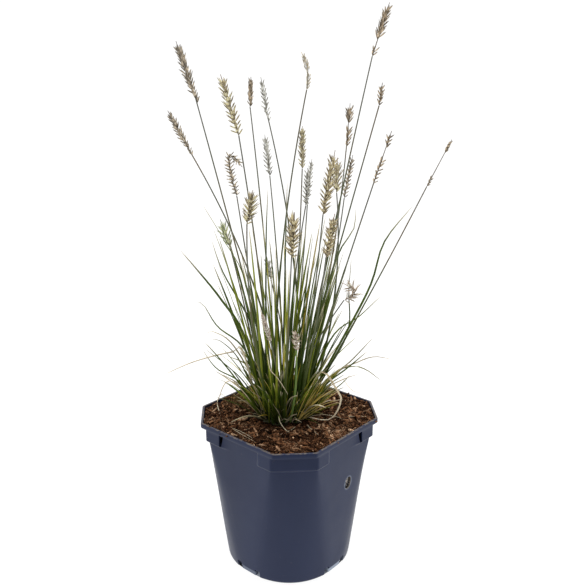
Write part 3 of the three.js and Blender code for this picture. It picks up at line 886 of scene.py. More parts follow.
@dataclass
class NurseryPot:
    """A square pot with cut corners that turn round towards its foot.

    It has a flanged lip, a stepped-out collar under the lip at each corner, four narrow openings where the
    left and right collars end, one small hole in its side, and a recess with two drains in each foot side.
    """

    lip_half: float = LIP_HALF
    lip_cut: float = 28.0
    lip_height: float = 5.0
    lip_wall: float = 2.4
    mouth_low: float = 149.0
    top_half: float = 71.3
    top_cut: float = 28.0
    foot_half: float = 61.0
    foot_cut: float = 53.6
    belly: float = 0.18
    wall: float = 1.5
    collar_half: float = 72.9
    collar_cut: float = 30.6
    plain_reach: float = 17.0
    plain_drop: float = 22.0
    slotted_reach: float = 20.5
    slotted_drop: float = 20.5
    floor_top: float = 6.0
    floor_underside: float = 4.0
    pad_radius: float = 28.0
    skirt: float = 4.5
    vent_place: Pair = (10.2, 95.2)
    vent_radius: float = 4.3
    vent_straight: float = 2.2
    slot_below: float = 1.2
    slot_slant: float = 1.6
    recess_depth: float = 1.2
    drain_across: float = 12.0
    soft_below: float = 131.0
    soft_span: float = 75.0
    soft_rounds: int = 160
    soft_points: int = 480
    sharp_angle: float = 38.0

    def columns(self) -> tuple[np.ndarray, np.ndarray]:
        """Where the mesh's columns stand along a flat side and across a cut corner, as shares from 0 to 1.

        They are close together at the corners' edges and where the collars end.

        Returns:
            The shares along a flat side and those across a corner.
        """
        flat = 2 * (self.lip_half - self.lip_cut)
        near = np.concatenate([np.arange(0, 4, 0.6), np.arange(4, 15, 2.6), np.arange(15, 23, 0.5)])
        middle = np.linspace(24, flat - 24, 12)
        along = np.concatenate([near, middle, flat - near[::-1]]) / flat
        cut = self.lip_cut * math.sqrt(2)
        edge = np.arange(0.6, 4, 0.6)
        across = np.concatenate([edge, np.linspace(5, cut - 5, 12), cut - edge[::-1]]) / cut
        return along, across

    def outline(self, half: float, cut: float, inset: float, is_round: bool = False) -> np.ndarray:
        """One level's outline: four flat sides, each followed by a corner that is cut straight or round.

        Args:
            half: Half the distance between opposite sides.
            cut: How much of each side the corner takes.
            inset: How far the outline is then moved in.
            is_round: Whether the corner is an arc instead of a straight cut.
        Returns:
            Points in the plane, counterclockwise, with the same columns whatever the sizes.
        """
        half, cut = half - inset, cut - inset * CORNER_LOSS
        along, across = self.columns()
        flat = np.stack([np.full_like(along, half), mix(cut - half, half - cut, along)], axis=-1)
        bend = on_circle(across * math.pi / 2) if is_round else np.column_stack([1 - across, across])
        quarters = [np.vstack([flat, half - cut + cut * bend])]
        for _ in range(3):
            quarters.append(quarters[-1] @ QUARTER_TURN)
        return np.vstack(quarters)

    def eased(self, ring: np.ndarray, rounds: int = 5) -> np.ndarray:
        """A ring whose sharp corners are rounded: each point moves halfway to its neighbours' middle.

        Args:
            ring: The ring's points.
            rounds: How often they move.
        Returns:
            The moved points.
        """
        for _ in range(rounds):
            ring = 0.5 * ring + 0.25 * (np.roll(ring, 1, axis=0) + np.roll(ring, -1, axis=0))
        return ring

    def softened(self, ring: np.ndarray, z: float) -> np.ndarray:
        """An outer ring whose corners grow softer from under the collars down to the pot's middle.

        A copy with evenly spaced points is smoothed as in eased, and each point takes its place on that copy.

        Args:
            ring: The ring's points.
            z: Its height.
        Returns:
            The moved points.
        """
        share = float(smooth(np.array(self.soft_below - z), 0, self.soft_span))
        rounds = int(mix(0, self.soft_rounds, share))
        if not rounds:
            return self.eased(ring)
        closed = np.vstack([ring, ring[:1]])
        run = np.concatenate([[0], np.cumsum(np.linalg.norm(np.diff(closed, axis=0), axis=1))])
        even = np.linspace(0, run[-1], self.soft_points, endpoint=False)
        soft = self.eased(np.column_stack([np.interp(even, run, column) for column in closed.T]), rounds)
        looped = np.vstack([soft, soft[:1]])
        placed = [np.interp(run[:-1], np.append(even, run[-1]), column) for column in looped.T]
        return self.eased(np.column_stack(placed))

    def lip(self, inset: float) -> np.ndarray:
        """The lip's outline, moved in by the inset."""
        return self.outline(self.lip_half, self.lip_cut, inset)

    def body(self, inset: float, z: float) -> np.ndarray:
        """The body's outline: the foot's points drawn towards the top's by height, with a slight belly.

        Args:
            inset: How far it is moved in.
            z: Its height.
        Returns:
            The outline's points.
        """
        upper = self.outline(self.top_half, self.top_cut, inset)
        lower = self.outline(self.foot_half, self.foot_cut, inset, True)
        share = z / (POT_HEIGHT - self.lip_height)
        flat = mix(self.foot_half, self.top_half, share) - inset
        blended = mix(lower, upper, share + self.belly * share * (1 - share))
        return np.clip(blended, -flat, flat)

    def collared(self, inset: float, z: float) -> np.ndarray:
        """The wall's outline, stepped out to the collar where a corner has it.

        The collar's share rises over 3 mm at its lower edge and over 1.2 mm at its ends.

        Args:
            inset: How far it is moved in.
            z: Its height.
        Returns:
            The outline's points.
        """
        ring = self.body(inset, z)
        collar = self.outline(self.collar_half, self.collar_cut, inset)
        slotted = (collar[:, 0] * collar[:, 1]) > 0
        reach = np.where(slotted, self.slotted_reach, self.plain_reach)
        drop = np.where(slotted, self.slotted_drop, self.plain_drop)
        edge = (2 * self.collar_half - self.collar_cut - reach) / math.sqrt(2)
        out = np.abs(collar).sum(axis=1) / math.sqrt(2) - edge
        share = smooth(out, -0.4, 0.8) * smooth(z - (POT_HEIGHT - drop), 0, 3)
        return ring + (collar - ring) * share[:, None]

    def rings(self) -> list[np.ndarray]:
        """Every level of the pot, from the underside's edge up the outside, over the lip and down the inside.

        Returns:
            The levels' points, in order.
        """
        levels: list[tuple[np.ndarray, float]] = []
        shoulder = POT_HEIGHT - self.lip_height
        circle = unit(self.body(0, 0))
        levels.append((circle * self.pad_radius, 0.0))
        levels.append((circle * (self.pad_radius + 0.6), self.floor_underside))
        levels.append((self.body(self.skirt + 0.4, 0), self.floor_underside))
        levels.append((self.body(self.skirt, 0), 0.3))
        levels.append((self.body(self.skirt - 0.4, 0), 0.0))
        for inset, z in ((0.9, 0.0), (0.35, 0.25), (0.08, 0.8)):
            levels.append((self.softened(self.body(inset, z), z), z))
        for z in np.concatenate([np.linspace(2, 128, 22), np.linspace(130, 138, 17), [141, 144]]):
            levels.append((self.softened(self.collared(0, z), z), float(z)))
        levels.append((self.eased(self.collared(0, shoulder - 0.6)), shoulder - 0.6))
        levels.append((self.eased(self.collared(-0.35, shoulder)), shoulder))
        for inset, z in ((1.0, 0.0), (0.3, 0.15), (0.0, 0.8), (0.0, self.lip_height - 0.8)):
            levels.append((self.eased(self.lip(inset)), shoulder + z))
        rounded = ((0.2, 0.3), (0.65, 0.0), (self.lip_wall - 0.5, 0.0), (self.lip_wall - 0.1, 0.35))
        for inset, drop in rounded:
            levels.append((self.eased(self.lip(inset)), POT_HEIGHT - drop))
        levels.append((self.eased(self.lip(self.lip_wall)), self.mouth_low + 0.2))
        levels.append((self.eased(self.lip(self.lip_wall + 0.2)), self.mouth_low))
        levels.append((self.eased(self.collared(self.wall, self.mouth_low)), self.mouth_low - 0.1))
        for z in (146.0, 140.0, 134.0, 130.0, 126.0, 90.0, 50.0, self.floor_top):
            levels.append((self.softened(self.collared(self.wall, z), z), z))
        return [np.column_stack([ring, np.full(len(ring), z)]) for ring, z in levels]

    def shell(self) -> Surface:
        """The whole pot before its openings are cut: its levels joined, with the underside and floor closed.

        Returns:
            The closed shell.
        """
        rings = self.rings()
        points = np.vstack([*rings, [[0, 0, 0]], [[0, 0, self.floor_top]]])
        faces = closed_faces(len(rings), len(rings[0]), len(points) - 2, len(points) - 1)
        return Surface(points, faces, points[:, :2] / (2 * LIP_HALF) + 0.5)

    def arch(self, half: float, height: float, shoulder: float) -> np.ndarray:
        """The outline of an opening that stands on the ground, with its top corners cut.

        Args:
            half: Half its width.
            height: Its height.
            shoulder: How far down its top corners are cut.
        Returns:
            The outline's corners, counterclockwise, from below the ground.
        """
        side, edge = height - shoulder, half - 0.8
        below = -2.0
        return np.array(
            [[-half, below], [half, below], [half, side], [edge, height], [-edge, height], [-half, side]]
        )

    def cutters(self) -> Surface:
        """The closed shapes of every opening, as prisms: slots, side hole, foot recesses and drains.

        Returns:
            The prisms, joined.
        """
        shapes = []
        along = self.collar_half - self.collar_cut - self.slotted_reach
        slot_top = POT_HEIGHT - self.lip_height - self.slot_below
        for quarter in range(4):
            side = 1 if quarter % 2 == 0 else -1
            foot = side * self.slot_slant
            tip = [[foot - 1.3, -11.4], [foot, -12.0], [foot + 1.3, -11.4]]
            slot = np.array([[-2.3, 0.0], *tip, [2.3, 0.0]]) + [side * along, slot_top]
            shapes.append(self.prism(slot, self.top_half - 5, self.top_half + 6, quarter))
        angle = np.linspace(0, 2 * math.pi, 24, endpoint=False)
        straight = np.sign(np.sin(angle)) * self.vent_straight
        vent = on_circle(angle) * self.vent_radius
        vent = vent + np.column_stack([0 * straight, straight]) + self.vent_place
        shapes.append(self.prism(vent, self.top_half - 14, self.top_half + 4, 0))
        recess, drain = self.arch(15.0, 4.0, 0.6), self.arch(3.0, 7.5, 0.9)
        foot = self.foot_half
        for quarter in range(4):
            shapes.append(self.prism(recess, foot - self.recess_depth, foot + 6, quarter))
            for across in (-self.drain_across, self.drain_across):
                shapes.append(self.prism(drain + [across, 0], foot - 12, foot + 7, quarter))
        return joined(shapes)

    def prism(self, section: np.ndarray, near: float, far: float, quarter: int) -> Surface:
        """A prism that runs outward from one side of the pot.

        Args:
            section: Corners across and up the side, counterclockwise seen from outside.
            near: Where it starts, from the pot's axis.
            far: Where it ends.
            quarter: Which side it pierces, as quarter turns from +X.
        Returns:
            The closed prism.
        """
        count = len(section)
        ends = [np.column_stack([np.full(count, x), section]) for x in (near, far)]
        points = np.vstack([*ends, [[near, *section.mean(axis=0)]], [[far, *section.mean(axis=0)]]])
        angle = quarter * math.pi / 2
        cos, sin = math.cos(angle), math.sin(angle)
        x, y = points[:, 0].copy(), points[:, 1].copy()
        points[:, 0], points[:, 1] = x * cos - y * sin, x * sin + y * cos
        return Surface(points, closed_faces(2, count, 2 * count, 2 * count + 1), points[:, :2])

    def build(self) -> None:
        """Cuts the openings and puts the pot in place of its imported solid."""
        pot = bpy.data.objects.new("pot_blank", mesh_from("pot_blank", self.shell()))
        cutter = bpy.data.objects.new("pot_cutter", mesh_from("pot_cutter", self.cutters()))
        for helper in (pot, cutter):
            bpy.context.scene.collection.objects.link(helper)
        cut = pot.modifiers.new("openings", "BOOLEAN")
        cut.operation = "DIFFERENCE"
        cut.solver = "EXACT"
        cut.use_self = True
        cut.object = cutter
        bpy.context.view_layer.update()
        evaluated = pot.evaluated_get(bpy.context.evaluated_depsgraph_get())
        mesh = bpy.data.meshes.new_from_object(evaluated)
        mesh.name = "nursery_pot"
        for helper in (pot, cutter):
            bpy.data.objects.remove(helper)
        mesh.materials.clear()
        mesh.shade_smooth()
        mesh.set_sharp_from_angle(angle=math.radians(self.sharp_angle))
        piece = add_piece("nursery_pot", mesh, PotPlastic().build())
        mesh.materials.append(RawEdge().build())
        mesh.polygons.foreach_set("material_index", self.on_vent_edge(mesh).astype(np.int32))
        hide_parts("pot")

    def on_vent_edge(self, mesh: bpy.types.Mesh) -> np.ndarray:
        """Which faces line the side hole: those whose centre is on its outline and that don't face outward.

        Args:
            mesh: The pot's mesh.
        Returns:
            True or false for each face.
        """
        centres, normals = np.empty(3 * len(mesh.polygons)), np.empty(3 * len(mesh.polygons))
        mesh.polygons.foreach_get("center", centres)
        mesh.polygons.foreach_get("normal", normals)
        centres, normals = centres.reshape(-1, 3) / MM, normals.reshape(-1, 3)
        away = np.abs(centres[:, 1:] - self.vent_place)
        edge = self.vent_radius + 0.1
        near = (away[:, 0] < edge) & (away[:, 1] < edge + self.vent_straight)
        return near & (centres[:, 0] > self.foot_half) & (np.abs(normals[:, 0]) < 0.5)


# The soil.


@dataclass
class PottingSoil:
    """Loose bark and peat: an uneven bed with chips, crumbs and fibres strewn over it."""

    pot: NurseryPot
    chips: int = 3400
    fibres: int = 4400
    roots: int = 54
    rings: int = 80
    slack: float = 5.0
    reach: float = 72.0
    bark_patches: tuple[Pair, ...] = ((4, -66), (34, -32), (46, -44))
    algae_patches: tuple[Pair, ...] = ((-62, 50), (-46, 38))

    @property
    def diagonal(self) -> float:
        """The greatest sum of a place's distances from the pot's two middle planes, at the cut corners."""
        return 2 * self.reach - 26.6

    def from_crown(self, at: np.ndarray) -> np.ndarray:
        """How far places lie outside the crown's edge."""
        crown = turned(np.array([*CROWN, 0.0]))
        return np.hypot(at[..., 0] - crown[0], at[..., 1] - crown[1]) - CROWN_RADIUS

    def height(self, at: np.ndarray) -> np.ndarray:
        """The bed's height: a dish about the plant's crown, with three waves of clods outside it.

        Args:
            at: Places, with x and y first on their last axis.
        Returns:
            A height for each place.
        """
        x, y = at[..., 0], at[..., 1]
        waves = (
            1.5 * np.sin(x * 0.21 + 1.7 * np.sin(y * 0.13))
            + 1.1 * np.sin(y * 0.33 + 0.9 * np.sin(x * 0.27))
            + 0.8 * np.sin((x + y) * 0.47)
        )
        away = self.from_crown(at)
        return SOIL_TOP + SOIL_HEAP * smooth(away, 2, 30) + 0.5 * waves * np.clip((away - 4) / 18, 0, 1)

    def near(self, at: np.ndarray, spots: Sequence[Pair], size: float) -> np.ndarray:
        """How near places are to the nearest of some spots: a bell curve of the distance.

        Args:
            at: Places, with x and y first on their last axis.
            spots: The spots, in the plant's frame.
            size: The curve's size.
        Returns:
            A share from 0 to 1 for each place.
        """
        centres = turned(np.array([[*spot, 0.0] for spot in spots]))
        apart = np.hypot(at[..., 0, None] - centres[:, 0], at[..., 1, None] - centres[:, 1])
        return np.exp(-((apart.min(axis=-1) / size) ** 2))

    def tones(self, points: np.ndarray, tone: np.ndarray) -> dict[str, np.ndarray]:
        """The tone, with painted shade by the clump, and the algae that places carry.

        The tone is raised on patches of bark and a little towards the pot's left and right, and falls towards
        the clump as painted shade.

        Args:
            points: The places.
            tone: Each place's own tone.
        Returns:
            The values by their attributes' names.
        """
        # Painted shade: near the clump the tone falls to 8 %.
        shaded = tone * mix(0.08, 1, smooth(self.from_crown(points), -4, 9))
        tone = shaded + 0.45 * self.near(points, self.bark_patches, 9.0)
        across = points[..., 0] * math.cos(FACING) + points[..., 1] * math.sin(FACING)
        tone = tone + 0.06 * smooth(np.abs(across), 25, 55)
        return {"tone": np.clip(tone, 0, 1), "moss": self.near(points, self.algae_patches, 15.0)}

    def crumb(self, at: np.ndarray) -> np.ndarray:
        """Fine unevenness on top of the clods, as a sum of short crossed waves.

        Args:
            at: Places, with x and y first on their last axis.
        Returns:
            What each place's height gains.
        """
        x, y = at[..., 0], at[..., 1]
        coarse = np.sin(x * 0.75 + 2 * np.sin(y * 0.5)) * np.sin(y * 0.8 + 1.5 * np.sin(x * 0.6))
        middle = np.sin(x * 1.6 + 2 * np.sin(y * 0.9)) * np.sin(y * 1.5 + 1.5 * np.sin(x * 1.1))
        return 0.8 * coarse + 0.45 * middle + 0.3 * np.sin(x * 2.7 + y * 1.9) * np.sin(y * 3.1 - x * 1.7)

    def bed(self) -> Surface:
        """The bed's top over the lip's inner outline, with a skirt down the wall and a flat underside.

        Below the mouth the skirt stands a few millimetres off the wall, as a root ball does.

        Returns:
            The closed bed.
        """
        mouth = self.pot.mouth_low + GAP
        rim = self.pot.lip(self.pot.lip_wall + GAP)[::2]
        share = np.linspace(0, 1, self.rings)[1:]
        top = rim[None] * share[:, None, None]
        edge = smooth(share, 0.97, 1)[:, None]
        height = self.height(top) + self.crumb(top) * (1 - edge)
        crowned = np.dstack([top, np.where(edge > 0, np.maximum(height, mouth + 0.2), height)])
        columns = len(rim)
        levels = [(rim, mouth), (self.pot.collared(self.pot.wall + GAP, mouth)[::2], mouth)]
        levels.append((self.pot.body(self.pot.wall + self.slack, mouth)[::2], mouth - 2))
        for z in (90.0, 50.0, self.pot.floor_top + GAP):
            levels.append((self.pot.body(self.pot.wall + self.slack, z)[::2], z))
        skirt = [np.column_stack([ring, np.full(columns, z)]) for ring, z in levels]
        ends = [[0, 0, float(self.height(np.zeros(2)))], [0, 0, self.pot.floor_top + GAP]]
        points = np.vstack([crowned.reshape(-1, 3), *skirt, ends])
        rows = len(share) + len(levels)
        faces = closed_faces(rows, columns, rows * columns, rows * columns + 1, inward=True)
        # The bed's tone stays near the dark end: painted shade in the gaps between chips and fibres.
        values = self.tones(points, 0.1 * draw(points[:, 0], points[:, 1]))
        return Surface(points, faces, points[:, :2] / (2 * LIP_HALF) + 0.5, values)

    def places(self, count: int, seed: int) -> np.ndarray:
        """Points strewn over the bed, clear of the crown and the wall, from repeatable draws.

        Args:
            count: How many, at most.
            seed: Which draws they take.
        Returns:
            The points.
        """
        keys = np.arange(count * 3)
        xy = (np.stack([draw(keys, seed, 1), draw(keys, seed, 2)], axis=-1) - 0.5) * 2 * self.reach
        off_crown = self.from_crown(xy) > -0.25 * CROWN_RADIUS
        xy = xy[(np.abs(xy).sum(axis=1) < self.diagonal) & off_crown][:count]
        return np.column_stack([xy, self.height(xy) + self.crumb(xy)])

    def chip_pile(self) -> Surface:
        """Bark chips and crumbs: short five-sided strands, thick in the middle, lying at random slopes.

        Returns:
            All the chips as one surface.
        """
        at = self.places(self.chips, 11)
        key = np.arange(len(at))
        size = 0.6 + 3.1 * draw(key, 21) ** 2.6
        heading = draw(key, 22) * 2 * math.pi
        slope = (draw(key, 23) - 0.5) * 1.4
        along = np.column_stack([on_circle(heading) * np.cos(slope)[:, None], np.sin(slope)])
        reach = np.linspace(-0.5, 0.5, 4)
        length = size * (1.3 + 2.0 * draw(key, 24))
        paths = at[:, None] + along[:, None] * (reach[None, :, None] * length[:, None, None])
        paths[..., 2] += (size * 0.25)[:, None]
        taper = np.array([0.55, 1.0, 0.9, 0.45])
        row, corner = np.arange(4)[None, :, None], np.arange(5)[None, None, :]
        rough = 0.75 + 0.5 * draw(key[:, None, None], row, corner)
        thick = (size * 0.5)[:, None, None, None]
        section = polygon(5, 0.6) * thick * taper[None, :, None, None] * rough[..., None]
        # Painted shade and light: the crumb term darkens chips in hollows and lightens those on rises.
        tone = 0.06 + 0.22 * self.crumb(at) + 0.82 * draw(key, 26) ** 1.25
        return strands(paths, leftward(heading, draw(key, 25) - 0.5), section, self.tones(at, tone))

    def fibre_mat(self) -> Surface:
        """Thin bent fibres lying on the bed: each follows a circle's arc and dips at both ends.

        Returns:
            All the fibres as one surface.
        """
        at = self.places(self.fibres, 12)
        key = np.arange(len(at)) + 0.5
        heading = draw(key, 31) * 2 * math.pi
        length = 4 + 13 * draw(key, 32) ** 1.6
        bend = (draw(key, 33) - 0.5) * 2.2
        reach = np.linspace(-0.5, 0.5, 6)
        angle = heading[:, None] + bend[:, None] * reach
        run = np.cumsum(on_circle(angle) * (length[:, None, None] / 5), axis=1)
        xy = at[:, None, :2] + run - run.mean(axis=1, keepdims=True)
        over = np.maximum(np.abs(xy).max(axis=-1) / self.reach, np.abs(xy).sum(axis=-1) / self.diagonal)
        xy = xy / np.maximum(over, 1)[..., None]
        lift = 0.3 + (1.6 * draw(key, 34)[:, None] ** 2) * (1 - 4 * reach**2)
        paths = np.dstack([xy, self.height(xy) + self.crumb(xy) + lift])
        radius = (0.13 + 0.22 * draw(key, 35) ** 3)[:, None] * (1 - 1.6 * reach**2)
        section = polygon(3) * radius[..., None, None]
        tones = self.tones(at, 0.1 + 0.86 * draw(key, 36) ** 1.25)
        return strands(paths, leftward(heading, np.zeros(len(at))), section, tones)

    def root_mat(self) -> Surface:
        """Pale roots that cross the side hole just inside the wall, each a straight line with a small sag.

        Returns:
            All the roots as one surface.
        """
        key = np.arange(self.roots) + 0.25
        across, up = self.pot.vent_place
        middle = np.stack([across + 9 * (draw(key, 81) - 0.5), up + 13 * (draw(key, 82) - 0.5)], axis=-1)
        slope = math.pi * draw(key, 83)
        reach = np.linspace(-0.5, 0.5, 5)
        length = 7 + 5 * draw(key, 84)
        at = middle[:, None] + on_circle(slope)[:, None] * (reach * length[:, None])[..., None]
        depth = self.pot.foot_half + 2.0 + 2.4 * draw(key, 85)[:, None] - 3 * reach**2
        paths = np.dstack([depth, at])
        radius = (0.3 + 0.45 * draw(key, 86))[:, None] * (1 - 1.4 * reach**2)
        section = polygon(5) * radius[..., None, None]
        sides = np.tile(X_AXIS, (self.roots, 1))
        return strands(paths, sides, section, {"tone": draw(key, 87)})

    def build(self) -> None:
        """Puts the bed, the chips, the fibres and some roots in place of the packed soil."""
        bark, root = BarkSoil().build(), RootGrey().build()
        surfaces = (
            ("soil_bed", self.bed(), bark),
            ("soil_chips", self.chip_pile(), bark),
            ("soil_fibres", self.fibre_mat(), bark),
            ("soil_roots", self.root_mat(), root),
        )
        for name, surface, material in surfaces:
            piece = add_piece(name, mesh_from(name, surface), material)
            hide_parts("soil")


# The flower stalks.


class HeadHabit(Enum):
    """How a seed head's spikelets stand.

    Their lean off its line at the foot and at the tip and how much each bends outward, in degrees, and how
    far apart they stand in a row.
    """

    DENSE = (40.0, 27.0, -8.0, 3.2)
    OPEN = (42.0, 24.0, -6.0, 4.1)
    LOOSE = (50.0, 30.0, -8.0, 3.7)
    CURLED = (64.0, 40.0, 4.0, 3.2)
    CLOSED = (34.0, 17.0, -14.0, 2.8)


@dataclass(frozen=True)
class Stalk:
    """One flower stalk with its seed head.

    root: where it leaves the crown. base: where the seed head starts. tip: from there to the head's tip.
    bow: how far the stalk's middle stands off its chord, across the view. bend: the control point of a curved
    head, from its base. bare: from where to where along the head no spikelets grow. stem: how pale its stem
    is. size: how large its spikelets are. early: how far below its base the first ones grow.
    """

    root: Pair
    base: Triple
    tip: Triple
    bow: float
    tone: HeadTone
    habit: HeadHabit = HeadHabit.OPEN
    bend: Triple | None = None
    bare: Pair = (1.0, 1.0)
    stem: float = 0.5
    size: float = 1.0
    early: float = 0.0

    def route(self) -> Route:
        """The stalk's centreline: a quadratic curve bowed across the view and a little in depth.

        Returns:
            The curve from its foot in the crown to its seed head.
        """
        foot = np.array([*self.root, SOIL_TOP - FOOT_DEPTH])
        end = np.array(self.base, float)
        control = (foot + end) / 2
        control[0] += 2 * self.bow
        control[1] += (foot[1] - end[1]) * 0.12
        return Route(np.stack([foot, control, end]))

    def head_route(self) -> Route:
        """The line that the seed head follows, clear of the stalk's end also where the two bend.

        Returns:
            The curve from just above the stalk's end to the head's tip.
        """
        end = np.array(self.tip, float)
        control = np.array(self.bend, float) if self.bend else end / 2
        points = self.route().points
        last = unit(points[2] - points[1])
        kink = math.acos(float(np.clip(last @ unit(control), -1, 1)))
        start = unit(control) * (GAP + FLORET_CORE * math.sin(kink))
        return Route(np.stack([start, control, end]) + np.array(self.base))


STALKS = (
    Stalk((-8, 4), (-81, -5, 456), (-15, 0, 47), 1, HeadTone.GREY_BROWN, HeadHabit.DENSE, size=1.2, early=5),
    Stalk(
        (-4, 1), (-86, -20, 412), (-17, -2, 34), 16, HeadTone.GREY_BROWN, HeadHabit.DENSE,
        size=0.9, early=5,
    ),
    Stalk((-14, -4), (-41, -45, 427), (-13, -10, 49), 3, HeadTone.GOLD, HeadHabit.LOOSE, size=1.15),
    Stalk((-10, 20), (-37, 60, 445), (1, 6, 28), 2, HeadTone.BROWN, HeadHabit.CLOSED, size=0.95),
    Stalk((12, 12), (-19, 35, 436), (-6.5, 4, 37), 10, HeadTone.GREY, size=0.9, early=3),
    Stalk((-3, 25), (-19, 75, 377), (-5, 9, 40), 2, HeadTone.GREY, size=1.1),
    Stalk(
        (-15, 12), (16, -15, 463), (-5, -3, 31), -8, HeadTone.STRAW, HeadHabit.CLOSED,
        bend=(3, 0, 17), bare=(0.3, 0.42), size=0.85,
    ),
    Stalk(
        (5, 10), (75, 20, 491), (14, 2, 45), -1, HeadTone.BROWN, HeadHabit.DENSE,
        bare=(0.12, 0.3), size=1.15,
    ),
    Stalk((1, 1), (78, -20, 450), (2, -2, 19), 0, HeadTone.BROWN, HeadHabit.DENSE, size=0.7),
    Stalk(
        (6, 0), (74, -40, 389), (12, -8, 42), 0, HeadTone.BROWN, HeadHabit.LOOSE,
        bare=(0.42, 0.66), size=0.75, early=3,
    ),
    Stalk(
        (10, 7), (127, 5, 377), (21, 3, 42), 2, HeadTone.BROWN, HeadHabit.CLOSED,
        bare=(0.16, 0.72), size=0.6,
    ),
    Stalk(
        (9, 22), (57, 65, 410), (3, 7, 38), 6, HeadTone.BROWN, HeadHabit.DENSE,
        bare=(0.3, 0.5), size=1.3, early=3,
    ),
    Stalk((1, 7), (13, 30, 390), (0, 4, 39), 1, HeadTone.GOLD, HeadHabit.DENSE, size=1.0),
    Stalk(
        (-20, 13), (-49, 25, 365), (6, -2, 27), 1, HeadTone.GREY_BROWN, HeadHabit.CURLED,
        bend=(-16, 0, 58), size=0.8,
    ),
    Stalk((-13, -13), (-33, -85, 360), (6, -15, 30), -8, HeadTone.GOLD, HeadHabit.LOOSE, size=1.35),
    Stalk((6, 15), (-18, 45, 277), (-4, 7, 22), 3, HeadTone.GREY, size=1.05),
    Stalk((-3, 20), (19, 58, 358), (4, 8, 37), 2, HeadTone.GREY, size=0.85),
    Stalk((-4, 7), (16, 5, 359), (2, 0, 35), -4, HeadTone.GREY, HeadHabit.LOOSE, size=0.8),
    Stalk((9, -6), (30, -45, 360), (9, -10, 56), 1, HeadTone.TAN, HeadHabit.LOOSE, size=1.3),
    Stalk((14, 5), (44, -1, 372), (0, -2, 32), 13, HeadTone.GOLD, size=1.5),
    Stalk((11, 17), (54, 42, 360), (8, 6, 41), 4, HeadTone.GREY_BROWN, HeadHabit.LOOSE, size=0.8),
    Stalk((-5, -13), (3, -80, 331), (2, -18, 41), 0, HeadTone.TAN, HeadHabit.LOOSE, size=1.45),
    Stalk((5, -10), (32, -68, 328), (6, -14, 40), 3, HeadTone.TAN, HeadHabit.LOOSE, size=1.2),
    Stalk(
        (-4, -5), (52, -12, 273), (-3, 0, 17), -8, HeadTone.ROSE, HeadHabit.CURLED,
        bend=(20, 0, 8), size=1.2,
    ),
    Stalk((-25, 10), (-56, 20, 316), (-9, 2, 27), 3, HeadTone.PALE_GREEN, size=1.5),
    Stalk((0, -11), (7, -62, 242), (-1, -12, 23), 3, HeadTone.ROSE, stem=0.95, size=0.9),
    Stalk((-9, -6), (-16, -48, 245), (-7, -12, 31), 3, HeadTone.ROSE, HeadHabit.CLOSED, size=0.8),
)


